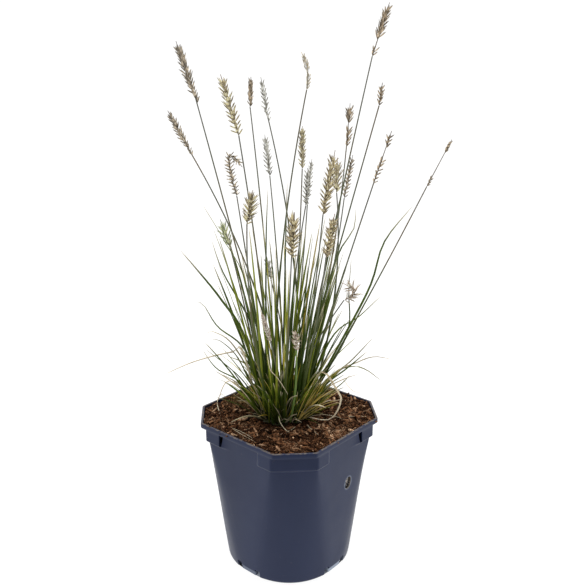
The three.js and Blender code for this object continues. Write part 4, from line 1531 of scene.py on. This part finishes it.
@dataclass
class SeedHead:
    """The spikelets, awns and slim axis of one seed head.

    The spikelets stand in four rows, at the right, back, left and front of the head's line. Each is a
    quarter of the rows' spacing above the last, and is made of three husks that fan out a little.
    """

    stalk: Stalk
    number: int
    husk_length: float = 7.4
    husk_radius: float = 0.58
    awn_radius: float = 0.09
    below_tip: float = 6.4

    def stations(self) -> tuple[np.ndarray, np.ndarray, np.ndarray, np.ndarray]:
        """Where husks grow.

        Returns:
            For each husk, the share along the head, the point on its line, the line's direction and the turn
            round it.
        """
        route = self.stalk.head_route()
        reach = route.length()
        step = self.stalk.habit.value[3] / 4
        early = self.stalk.early
        count = max(4, int((reach + early - self.below_tip * self.stalk.size) / step))
        order = np.arange(count)
        at = ((order + 0.4 * draw(order, self.number, 4)) * step - early) / reach
        line = route.spaced(len(SHARES) - 1)
        heading = unit(np.gradient(line, axis=0))
        points = np.stack([np.interp(at, SHARES, column) for column in line.T], axis=-1)
        direction = unit(np.stack([np.interp(at, SHARES, column) for column in heading.T], axis=-1))
        points += direction * (np.minimum(at, 0) * reach)[:, None]
        low, high = self.stalk.bare
        keep = ~((at > low) & (at < high)) & ~((at <= low) & (low < 1) & (order % 4 > 1))
        turn = order * math.pi / 2 + 0.9 * (draw(order, self.number, 5) - 0.5)
        keep &= (at > 0) | (order % 4 < 2)
        return np.maximum(at, 0)[keep], points[keep], direction[keep], turn[keep]

    def outward(self, direction: np.ndarray, turn: np.ndarray) -> np.ndarray:
        """The direction away from the head's line at each turn round it.

        Args:
            direction: The line's direction at each place.
            turn: The turn there, from +X towards the back.
        Returns:
            A direction for each place.
        """
        side = unit(X_AXIS - direction * direction[:, :1])
        normal = np.cross(direction, side)
        return side * np.cos(turn)[:, None] + normal * np.sin(turn)[:, None]

    def lines(
        self, rows: int, start: float, end: float, member: int
    ) -> tuple[np.ndarray, np.ndarray, np.ndarray]:
        """The lines of one member of every spikelet.

        A line's angle off the head grows from the spikelet's lean by its bend, and the line is the running
        sum of short steps at that angle. Spikelets are shorter at both ends of the head.

        Args:
            rows: Points along each line.
            start: Where it starts, as a share of the husk's length.
            end: Where it ends.
            member: Which of the spikelet's members it is: -1, 0 or 1 fan out to either side.
        Returns:
            The lines' points, the direction across each, and each one's draw.
        """
        at, points, direction, turn = self.stations()
        key = np.arange(len(at)) + self.number * 101.0
        low, high, bend, _ = self.stalk.habit.value
        lean = np.radians(mix(low, high, at) * (0.82 + 0.36 * draw(key, 3, 1)) - 5 * abs(member))[:, None]
        length = self.husk_length * self.stalk.size * (0.85 + 0.3 * draw(key, 3, 2))
        length = length * np.minimum(1, 0.72 + at) * (1 - 0.25 * at**3) * (1 - 0.14 * abs(member))
        out = self.outward(direction, turn)
        across = np.cross(direction, out)
        s = np.linspace(start, end, rows)
        angle = lean + np.radians(bend) * (s - 0.3)
        step = length[:, None] * (end - start) / (rows - 1)
        skipped = 1 - start * (rows - 1)
        parts = (np.sin(angle), np.cos(angle))
        outgoing, rising = (np.cumsum(part * step, axis=1) - part[:, :1] * step * skipped for part in parts)
        fan = member * (0.12 + 0.2 * s)[None] * length[:, None] * 0.55
        paths = (
            points[:, None]
            + out[:, None] * (0.35 + outgoing)[..., None]
            + direction[:, None] * rising[..., None]
            + across[:, None] * fan[..., None]
        )
        return paths, across, draw(key, 8 + member)

    def husks(self, member: int) -> Surface:
        """One husk of every spikelet: a pointed spindle, a little flattened.

        Args:
            member: Which of the spikelet's members it is: -1, 0 or 1.
        Returns:
            The husks as one surface.
        """
        paths, across, shade = self.lines(6, 0.0, 1.0, member)
        wide = np.array([0.3, 0.8, 1.0, 0.85, 0.5, 0.06])
        fat = self.husk_radius * (0.85 + 0.3 * shade)
        section = polygon(5, 0.8)[None, None] * (fat[:, None] * wide)[..., None, None]
        return strands(paths, across, section, {"tone": shade})

    def awns(self) -> Surface:
        """One fine awn at the tip of each spikelet's middle husk.

        Returns:
            The awns as one surface.
        """
        paths, across, shade = self.lines(3, 0.9, 1.45, 0)
        thin = polygon(3) * self.awn_radius
        section = np.broadcast_to(thin, (len(paths), 3, 3, 2)) * np.array([1, 0.6, 0.15])[:, None, None]
        return strands(paths, across, section, {"tone": 0.3 + 0.7 * shade})

    def axis(self) -> Surface:
        """The slim stem inside the head, which tapers to its tip."""
        return rod(self.stalk.head_route().spaced(16), np.linspace(0.5, 0.3, 17), 6, 0.1)

    def build(self, material: bpy.types.Material) -> None:
        """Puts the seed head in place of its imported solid.

        Args:
            material: Its finish.
        """
        surface = joined([*(self.husks(member) for member in (-1, 0, 1)), self.awns(), self.axis()])
        surface.points = turned(surface.points)
        name = f"florets_{self.number:02d}"
        piece = add_piece(name, mesh_from(name, surface), material)
        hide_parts(f"seed_head_{self.number:02d}")


@dataclass
class FlowerStem:
    """One stem: a slender rod, thicker where a leaf sheath wraps its lower part, with a slight swelling where
    the sheath ends.
    """

    stalk: Stalk
    number: int
    steps: int = 44
    sides: int = 8

    def surface(self) -> Surface:
        """The stem as a round section carried along its line.

        Its radius falls evenly from foot to top. A sheath adds to it up to its end, and a joint adds a narrow
        swelling there.

        Returns:
            The closed stem.
        """
        share = np.linspace(0, 1, self.steps + 1)
        sheath = 0.42 + 0.25 * float(draw(self.number, 41))
        radius = mix(0.9, 0.58, share)
        radius = radius + 0.2 * (1 - smooth(share, sheath - 0.01, sheath + 0.01))
        radius = radius + 0.12 * np.exp(-(((share - sheath) / 0.008) ** 2))
        return rod(self.stalk.route().spaced(self.steps), radius, self.sides, self.stalk.stem)

    def build(self, material: bpy.types.Material) -> None:
        """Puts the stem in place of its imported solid.

        Args:
            material: Its finish.
        """
        surface = self.surface()
        surface.points = turned(surface.points)
        name = f"stem_{self.number:02d}"
        piece = add_piece(name, mesh_from(name, surface), material)
        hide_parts(f"stalk_{self.number:02d}")


# The leaves.


@dataclass(frozen=True)
class Leaf:
    """One leaf blade: its centreline, breadth, the direction that it faces, and its colour."""

    route: Route
    width: float
    face: float
    tone: float
    dry: float = 0.0


@dataclass(frozen=True)
class LeafKind:
    """A kind of leaf that grows by rule.

    reach is a leaf's length, lean its slope off vertical at the crown and droop how much more it leans at its
    tip, both in degrees, and width its breadth.
    """

    count: int
    reach: Pair
    lean: Pair
    droop: Pair
    width: Pair
    seed: int
    tone: Pair = (0.0, 1.0)
    dry: float = 0.0


OUTER_LEAVES = (
    (((-38, -20, 286), (-57, -25, 332), (-76, -30, 368)), 2.6, 0.0),
    (((-36, 16, 231), (-43, 19, 251), (-64, 22, 290), (-75, 25, 323)), 2.2, 0.0),
    (((-42, -5, 234), (-63, -7, 272), (-86, -10, 304), (-100, -12, 322)), 3.2, 0.0),
    (((-41, 8, 212), (-69, 8, 240), (-82, 8, 262), (-92, 8, 266)), 2.0, 0.0),
    (((-54, 28, 210), (-75, 34, 225), (-85, 40, 221)), 1.8, 0.8),
    (((-38, -8, 190), (-50, -12, 218), (-66, -16, 235), (-74, -20, 235)), 1.8, 0.0),
    (((-43, -14, 221), (-54, -19, 224), (-88, -25, 217), (-118, -30, 205)), 2.0, 1.0),
    (((-41, -16, 189), (-57, -26, 212), (-77, -36, 234)), 2.0, 0.0),
    (((-47, 6, 181), (-71, 8, 196), (-85, 10, 215)), 2.0, 0.0),
    (((-39, 24, 189), (-64, 34, 200)), 2.0, 0.3),
    (((-56, 4, 184), (-70, 4, 165), (-71, 4, 156)), 1.6, 1.0),
    (((45, 6, 210), (78, 10, 277), (91, 12, 322), (118, 14, 358)), 2.6, 0.0),
    (((40, -14, 234), (66, -19, 259), (86, -24, 282)), 2.6, 0.0),
    (((56, 20, 222), (59, 23, 273), (61, 26, 308)), 2.2, 0.0),
    (((44, 20, 184), (69, 24, 196), (86, 27, 201), (106, 30, 197)), 1.6, 0.9),
    (((44, 4, 190), (61, 0, 201), (75, -4, 200), (91, -8, 189)), 1.8, 0.4),
    (((40, 22, 178), (63, 30, 195), (87, 40, 218)), 2.0, 0.5),
    (((36, -8, 186), (55, -16, 206), (74, -30, 230)), 2.0, 0.0),
    (((48, 22, 169), (64, 34, 179)), 2.0, 0.2),
    (((24, 0, 230), (45, -3, 311), (60, -5, 339), (61, -8, 360)), 2.4, 0.0),
    (((30, -14, 201), (46, -18, 185), (50, -22, 175), (40, -26, 158), (19, -30, 162)), 2.4, 1.0),
    (((-21, 0, 318), (-18, -10, 381)), 2.0, 0.0),
    (((-3, 16, 314), (-1, 20, 383)), 2.0, 0.0),
)

SOLID_LEAVES = (
    LeafKind(40, (120, 215), (2, 19), (2, 14), (2.2, 3), 3, (0.0, 0.8)),
    LeafKind(44, (50, 115), (8, 40), (4, 30), (2, 2.8), 17, (0.0, 0.9)),
    LeafKind(22, (40, 90), (30, 52), (25, 65), (1.6, 2.1), 31, dry=0.8),
)

FINE_LEAVES = (
    LeafKind(24, (80, 190), (2, 16), (2, 14), (1.2, 2.0), 203, (0.0, 0.8)),
    LeafKind(130, (30, 85), (4, 36), (4, 34), (1.0, 2.4), 401, (0.0, 1.0)),
    LeafKind(70, (25, 70), (14, 62), (10, 70), (0.5, 1.0), 617, dry=1.0),
)

LYING_STRAWS = (
    (1.0, ((-20, -22, 224), (-17, -35, 213), (-11, -37, 206), (-5, -38, 197), (0, -36, 187))),
    (1.0, ((-10, -24, 160), (-8, -28, 155), (-3, -35, 151), (1, -42, 151.5))),
    (0.7, ((7, -24, 149), (1, -35, 150), (-12, -50, 151.6))),
    (0.9, ((17, -18, 148.6), (22, -37, 152.2), (28, -48, 152.4))),
    (0.7, ((59, -10, 152.4), (71, -8, 152), (79, -14, 153.6))),
    (1.0, ((19, 5, 152), (38, 22, 154), (48, 28, 152.4), (56, 28, 153), (62, 24, 152.9))),
    (0.9, ((23, 1, 151), (36, 13, 151.4), (43, 11, 151.6))),
    (0.8, ((32, 20, 153), (33, 6, 151))),
    (0.5, ((-53, -37, 153), (-42, -50, 152.8), (-30, -63, 153))),
    (0.5, ((-55, -33, 152.6), (-42, -46, 153.4), (-32, -57, 153))),
    (0.9, ((-66, 30, 156), (-71, 42, 153), (-73, 20, 153), (-67, -9, 152.6))),
    (0.8, ((59, 73, 156), (67, 50, 153.6), (78, 45, 152.5))),
)


@dataclass
class LeafTuft:
    """The leaves of the clump, which all grow from one crown."""

    soil: PottingSoil
    steps: int = 22
    tries: int = 60
    bundle: int = 40
    sheaf: int = 34
    starts: np.ndarray = field(init=False)
    ends: np.ndarray = field(init=False)
    radii: np.ndarray = field(init=False)

    def __post_init__(self) -> None:
        """Lists the short straight stretches of the stalks and seed heads that leaves keep off."""
        starts, ends, radii = [], [], []
        for stalk in STALKS:
            stem, head = stalk.route().spaced(16), stalk.head_route().spaced(4)
            for line, radius in ((stem, STALK_FOOT_RADIUS + 0.7), (head, HEAD_CLEARANCE)):
                starts.append(line[:-1])
                ends.append(line[1:])
                radii.append(np.full(len(line) - 1, radius))
        self.starts, self.ends = np.vstack(starts), np.vstack(ends)
        self.radii = np.concatenate(radii)

    def taper(self, share: np.ndarray) -> np.ndarray:
        """A leaf's breadth along its length, as a share of its greatest."""
        return np.minimum(1, 0.72 + share) * np.sqrt(np.maximum(0, 1 - share**2.2))

    def is_clear(self, leaf: Leaf, crossing: bool) -> bool:
        """Whether a leaf keeps off the soil, the pot's lip and, unless it may cross them, stalks and heads.

        Args:
            leaf: The leaf.
            crossing: Whether it may cross stalks and seed heads.
        Returns:
            True if it does.
        """
        steps = math.ceil(leaf.route.length() / 3)
        points = leaf.route.spaced(steps)
        half = leaf.width / 2 * self.taper(np.linspace(0, 1, steps + 1))
        at = turned(points)
        beyond = np.hypot(*(points[:, :2] - CROWN).T) > CROWN_RADIUS - 2
        if np.any(beyond & (points[:, 2] < self.soil.height(at) + 1.6)):
            return False
        if np.any((np.abs(at[:, :2]).max(axis=1) > LIP_HALF - 8) & (points[:, 2] < POT_HEIGHT + 2.5)):
            return False
        high = points[:, 2] >= SOIL_TOP + 4
        points, half = points[high], half[high]
        if crossing or not len(points):
            return True
        line = self.ends - self.starts
        share = np.einsum("nmk,mk->nm", points[:, None] - self.starts[None], line) / np.sum(line**2, axis=1)
        nearest = self.starts + np.clip(share, 0, 1)[..., None] * line
        distance = np.linalg.norm(points[:, None] - nearest, axis=-1)
        return bool(np.all(distance > self.radii + half[:, None]))

    def settled(self, tries: Iterable[Leaf], crossing: bool = False) -> list[Leaf]:
        """The first of a leaf's tries that is clear, in a list that stays empty if none is."""
        return list(itertools.islice((leaf for leaf in tries if self.is_clear(leaf, crossing)), 1))

    def foot(self, angle: float, radius: float) -> np.ndarray:
        """A leaf's foot, some way down in the crown."""
        place = CROWN + radius * np.array([math.cos(angle), math.sin(angle)])
        return np.array([*place, SOIL_TOP - LEAF_FOOT_DEPTH])

    def placed(self, i: int, attempt: int) -> Leaf:
        """One try at a listed leaf. Its foot moves over the crown, and the rest a little in depth.

        Args:
            i: Its place in OUTER_LEAVES.
            attempt: Which try it is.
        Returns:
            The leaf.
        """
        passes, width, dry = OUTER_LEAVES[i]
        points = np.array(passes, float)
        out = math.atan2(points[0, 1] - CROWN[1], points[0, 0] - CROWN[0]) % (2 * math.pi)
        angle = out + (float(draw(i, attempt, 1)) - 0.5) * 1.3
        radius = CROWN_RADIUS * mix(0.5, 0.86, float(draw(i, attempt, 2)))
        nudge = (float(draw(i, attempt, 3)) - 0.5) * 0.5 * attempt
        route = Route(np.vstack([self.foot(angle, radius), points + [0, nudge, 0]]), passes=True)
        tone = 1.0 if dry > 0.9 else 0.1 + 0.45 * float(draw(i, 50))
        return Leaf(route, width, float(draw(i, 49)) - 2.1, tone, dry)

    def sprout(self, kind: LeafKind, i: int, attempt: int) -> Leaf:
        """One try at a leaf of a kind: two equal steps from its foot, the second leaning more.

        Args:
            kind: The leaf's kind.
            i: Its number on the spiral over the crown.
            attempt: Which try it is.
        Returns:
            The leaf.
        """
        key = kind.seed + i

        def pick(place: int, span: Pair) -> float:
            """A value in the span for this leaf and attempt."""
            return float(mix(*span, draw(key, attempt, place)))

        angle = i * GOLDEN_ANGLE + 0.9 * float(draw(key, attempt, 1))
        radius = CROWN_RADIUS * 0.88 * math.sqrt((i + float(draw(key, attempt, 2))) / kind.count)
        foot = self.foot(angle, radius)
        heading = angle + pick(3, (-0.7, 0.7))
        slope = math.radians(pick(4, kind.lean) * mix(0.5, 1, radius / CROWN_RADIUS))
        bend = math.radians(pick(5, kind.droop))
        length = pick(6, kind.reach)
        outward = np.array([math.cos(heading), math.sin(heading), 0.0])
        first, second = (
            (outward * math.sin(tilt) + [0, 0, math.cos(tilt)]) * length / 2 for tilt in (slope, slope + bend)
        )
        route = Route(np.stack([foot, foot + first, foot + first + second]))
        tone = float(mix(*kind.tone, draw(key, 51) ** 1.2))
        dry = kind.dry * float(draw(key, 52) > 0.25)
        return Leaf(route, pick(7, kind.width), heading + pick(8, (-1.2, 1.2)), tone, dry)

    def outer(self) -> list[Leaf]:
        """Listed leaves, each tried with other feet until it is clear.

        Returns:
            The leaves.
        """
        leaves = []
        for i in range(len(OUTER_LEAVES)):
            leaves += self.settled(self.placed(i, attempt) for attempt in range(self.tries))
        return leaves

    def ruled(self, kind: LeafKind, crossing: bool) -> list[Leaf]:
        """Leaves of one kind, in a spiral over the crown, each drawn again until it is clear.

        Args:
            kind: Their kind.
            crossing: Whether they may cross stalks and seed heads.
        Returns:
            The leaves.
        """
        leaves = []
        for i in range(kind.count):
            leaves += self.settled((self.sprout(kind, i, attempt) for attempt in range(self.tries)), crossing)
        return leaves

    def lying(self) -> list[Leaf]:
        """Dry leaves that lie on the soil or hang from the clump.

        Returns:
            The leaves.
        """
        leaves = []
        for i, (width, points) in enumerate(LYING_STRAWS):
            route = Route(np.array(points, float), passes=True)
            leaves.append(Leaf(route, width, float(i), 0.75 + 0.25 * float(draw(i, 72)), 1.0))
        return leaves

    def bundled(self) -> list[Leaf]:
        """A bundle of short leaves that bends outward at the clump's right. Every other one is yellowing.

        Returns:
            The leaves.
        """
        leaves = []
        for i in range(self.bundle):
            start, lean, reach = (float(draw(i, 73, place)) for place in (1, 2, 3))
            foot = np.array([mix(6, 22, start), mix(-15, -6, start), 150.0])
            end = foot + [mix(14, 36, lean), -6 - 8 * start, mix(60, 24, lean) * mix(0.7, 1.15, reach)]
            control = (foot + end) / 2 + [0, 0, mix(4, 10, reach)]
            own = float(draw(i, 74))
            tone, dry = (1.0, 0.35 * own) if i % 2 else (0.1 + 0.7 * own, 0.0)
            route = Route(np.stack([foot, control, end]))
            leaves.append(Leaf(route, mix(1.2, 2.1, reach), i * 1.0, tone, dry))
        return leaves

    def sheaved(self) -> list[Leaf]:
        """A sheaf of green leaves of all lengths that leans to the right.

        Returns:
            The leaves.
        """
        leaves = []
        for i in range(self.sheaf):
            start, lean, reach = (float(draw(i, 75, place)) for place in (1, 2, 3))
            foot = np.array([mix(4, 18, start), mix(-8, 18, lean), 150.0])
            end = foot + [mix(18, 48, lean), mix(-14, 10, reach), mix(25, 190, reach)]
            control = (foot + end) / 2 - [mix(2, 7, start), 0, 0]
            route = Route(np.stack([foot, control, end]))
            leaves.append(Leaf(route, mix(1.6, 2.6, start), i * 1.3, 0.7 * float(draw(i, 76))))
        return leaves

    def blades(self, leaves: Sequence[Leaf]) -> Surface:
        """The leaves as strands with a folded section.

        The section has two edges that stand above a channel, and a keel below it. Its half width follows the
        taper, its fold and keel shrink towards the tip, and it turns slowly about the leaf's line. Dry leaves
        are rolled, so they are nearly as thick as they are broad.

        Args:
            leaves: The leaves.
        Returns:
            The leaves as one surface.
        """
        share = np.linspace(0, 1, self.steps + 1)
        paths = np.stack([leaf.route.spaced(self.steps) for leaf in leaves])
        width = np.array([leaf.width for leaf in leaves])[:, None]
        key = np.arange(len(leaves))
        half = width / 2 * np.maximum(self.taper(share), 0.03)
        dry = np.array([leaf.dry for leaf in leaves])[:, None]
        fold = half * mix(0.25 + 0.35 * draw(key, 61)[:, None], 0.8, dry)
        keel = mix(0.3 + 0.16 * (1 - share), 0.7 * half, dry)
        corners = [(-half, fold), (-half * 0.5, -keel * 0.5), (0 * half, -keel)]
        corners += [(half * 0.5, -keel * 0.5), (half, fold), (half * 0.5, fold * 0.45), (0 * half, 0 * half)]
        corners += [(-half * 0.5, fold * 0.45)]
        section = np.stack([np.stack([a, b * np.ones_like(a)], axis=-1) for a, b in corners], axis=2)
        section[:, -1] *= 0.15
        face = np.array([leaf.face for leaf in leaves])[:, None]
        twist = face + (draw(key, 62)[:, None] - 0.5) * 2.6 * share
        values = {"tone": np.array([leaf.tone for leaf in leaves]), "dry": dry[:, 0]}
        return strands(paths, leftward(twist, np.zeros_like(twist)), section, values)

    def crown(self) -> Surface:
        """The crown that the leaves grow from: a low dome of packed leaf bases that ends in the soil.

        Returns:
            The closed dome.
        """
        angle = np.linspace(0, 2 * math.pi, 72, endpoint=False)
        profile = [(0.2, CROWN_RISE), (8, CROWN_RISE), (16, CROWN_RISE - 1), (22, 4.0)]
        profile += [(25, 1.0), (25.5, -8.0), (20, -CROWN_DEPTH)]
        rings = []
        for radius, rise in profile:
            ripple = 1 + 0.05 * np.sin(angle * 13 + radius) + 0.03 * np.sin(angle * 29 + 2 * radius)
            around = on_circle(angle) * (radius * ripple)[:, None] + CROWN
            rings.append(np.column_stack([around, np.full(len(angle), SOIL_TOP + rise)]))
        points = np.vstack([*rings, [[*CROWN, SOIL_TOP + CROWN_RISE]], [[*CROWN, SOIL_TOP - CROWN_DEPTH]]])
        faces = closed_faces(len(rings), len(angle), len(points) - 2, len(points) - 1, inward=True)
        uv = np.column_stack([points[:, 0] / 50, np.full(len(points), 0.03)])
        # Its tone of 0 gives the crown the leaves' shadow colour, and it lies in their painted foot shade.
        return Surface(points, faces, uv, {"tone": np.zeros(len(points)), "dry": np.zeros(len(points))})

    def build(self) -> None:
        """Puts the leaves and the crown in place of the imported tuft."""
        material = LeafGreen().build()
        main = self.outer()
        for kind in SOLID_LEAVES:
            main += self.ruled(kind, crossing=False)
        fine = [leaf for kind in FINE_LEAVES for leaf in self.ruled(kind, crossing=True)]
        fine += self.lying() + self.bundled() + self.sheaved()
        log.info("leaves: %d main, %d fine", len(main), len(fine))
        surfaces = (
            ("leaf_blades", self.blades(main)),
            ("fine_leaves", self.blades(fine)),
            ("leaf_crown", self.crown()),
        )
        for name, surface in surfaces:
            surface.points = turned(surface.points)
            piece = add_piece(name, mesh_from(name, surface), material)
            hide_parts("leaf_tuft")


# The studio.


@dataclass
class Studio:
    """A pale floor that sweeps up behind the pot, soft light from all round, and the camera."""

    lens: float = 46.15
    sensor: float = 36.0
    eye: Triple = (3.81, -681.45, 480.93)
    aim: Triple = (3.81, 0.0, 276.87)
    dim_from: Pair = (-0.2, 0.7)
    brightness: Pair = (0.75, 0.0)
    floor_half: float = 4000.0
    floor_rows: int = 81
    flat_reach: float = 1600.0
    sweep: float = 1500.0
    below_pot: float = 0.05

    def floor(self) -> None:
        """A square floor whose far edges curve up: height is the square of the way past its flat part."""
        line = np.linspace(-self.floor_half, self.floor_half, self.floor_rows)
        x, y = np.meshgrid(line, line, indexing="ij")
        past = np.maximum(np.hypot(x, y) - self.flat_reach, 0)
        points = np.dstack([x, y, past**2 / self.sweep - self.below_pot]).reshape(-1, 3)
        faces = grid_faces(self.floor_rows, self.floor_rows, False)
        surface = Surface(points, faces, points[:, :2] / (2 * self.floor_half))
        floor = bpy.data.objects.new("studio_floor", mesh_from("studio_floor", surface))
        floor.data.materials.append(StudioFloor().build())
        bpy.context.scene.collection.objects.link(floor)

    def light(self, name: str, place: Triple, size: float, power: float) -> None:
        """A square soft light that looks at the middle of the plant.

        Args:
            name: Its name.
            place: Where it stands in the plant's frame, in metres.
            size: Its side, in metres.
            power: Its power, in watts.
        """
        data = bpy.data.lights.new(name, "AREA")
        data.size = size
        data.energy = power
        lamp = bpy.data.objects.new(name, data)
        lamp.location = Vector(turned(np.array(place)))
        lamp.rotation_euler = (Vector((0, 0, 0.25)) - lamp.location).to_track_quat("-Z", "Y").to_euler()
        bpy.context.scene.collection.objects.link(lamp)

    def sky(self) -> bpy.types.World:
        """A white room that is bright all round and dim on the side that faces the pot's front corner.

        Returns:
            The world.
        """
        world = bpy.data.worlds.new("studio")
        world.use_nodes = True
        tree = world.node_tree
        toward = tree.nodes.new("ShaderNodeVectorMath")
        toward.operation = "DOT_PRODUCT"
        toward.inputs[1].default_value = tuple(turned(np.array([0.0, -1.0, 0.0])))
        level = tree.nodes.new("ShaderNodeMapRange")
        level.interpolation_type = "SMOOTHSTEP"
        level.inputs["From Min"].default_value, level.inputs["From Max"].default_value = self.dim_from
        level.inputs["To Min"].default_value, level.inputs["To Max"].default_value = self.brightness
        tree.links.new(tree.nodes.new("ShaderNodeTexCoord").outputs["Generated"], toward.inputs[0])
        tree.links.new(toward.outputs["Value"], level.inputs["Value"])
        tree.links.new(level.outputs["Result"], tree.nodes["Background"].inputs["Strength"])
        tree.nodes["Background"].inputs["Color"].default_value = (1, 1, 1, 1)
        return world

    def build(self) -> None:
        """Sets up the floor, the lights, the room and the camera."""
        self.floor()
        self.light("key_light", (-1.9, -0.4, 1.5), 1.0, 12.0)
        self.light("fill_light", (2.0, -0.2, 1.3), 1.0, 11.0)
        self.light("top_light", (0.1, 0.3, 2.2), 1.2, 24.0)
        scene = bpy.context.scene
        scene.world = self.sky()
        scene.view_settings.view_transform = "Standard"
        camera = bpy.data.objects.new("camera", bpy.data.cameras.new("camera"))
        camera.data.lens = self.lens
        camera.data.sensor_width = self.sensor
        eye, aim = (Vector(turned(np.array(place))) * MM for place in (self.eye, self.aim))
        camera.location = eye
        camera.rotation_euler = (aim - eye).to_track_quat("-Z", "Y").to_euler()
        camera.data.clip_end = 50
        scene.collection.objects.link(camera)
        scene.camera = camera


def main() -> None:
    """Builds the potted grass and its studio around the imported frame."""
    logging.basicConfig(level=logging.INFO, format="%(name)s: %(message)s")
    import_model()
    Studio().build()
    pot = NurseryPot()
    pot.build()
    soil = PottingSoil(pot)
    soil.build()
    LeafTuft(soil).build()
    stem = StemGreen().build()
    husks = {tone: HeadHusk(tone).build() for tone in HeadTone}
    for number, stalk in enumerate(STALKS, start=1):
        FlowerStem(stalk, number).build(stem)
        SeedHead(stalk, number).build(husks[stalk.tone])
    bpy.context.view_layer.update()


if __name__ == "__main__":
    main()
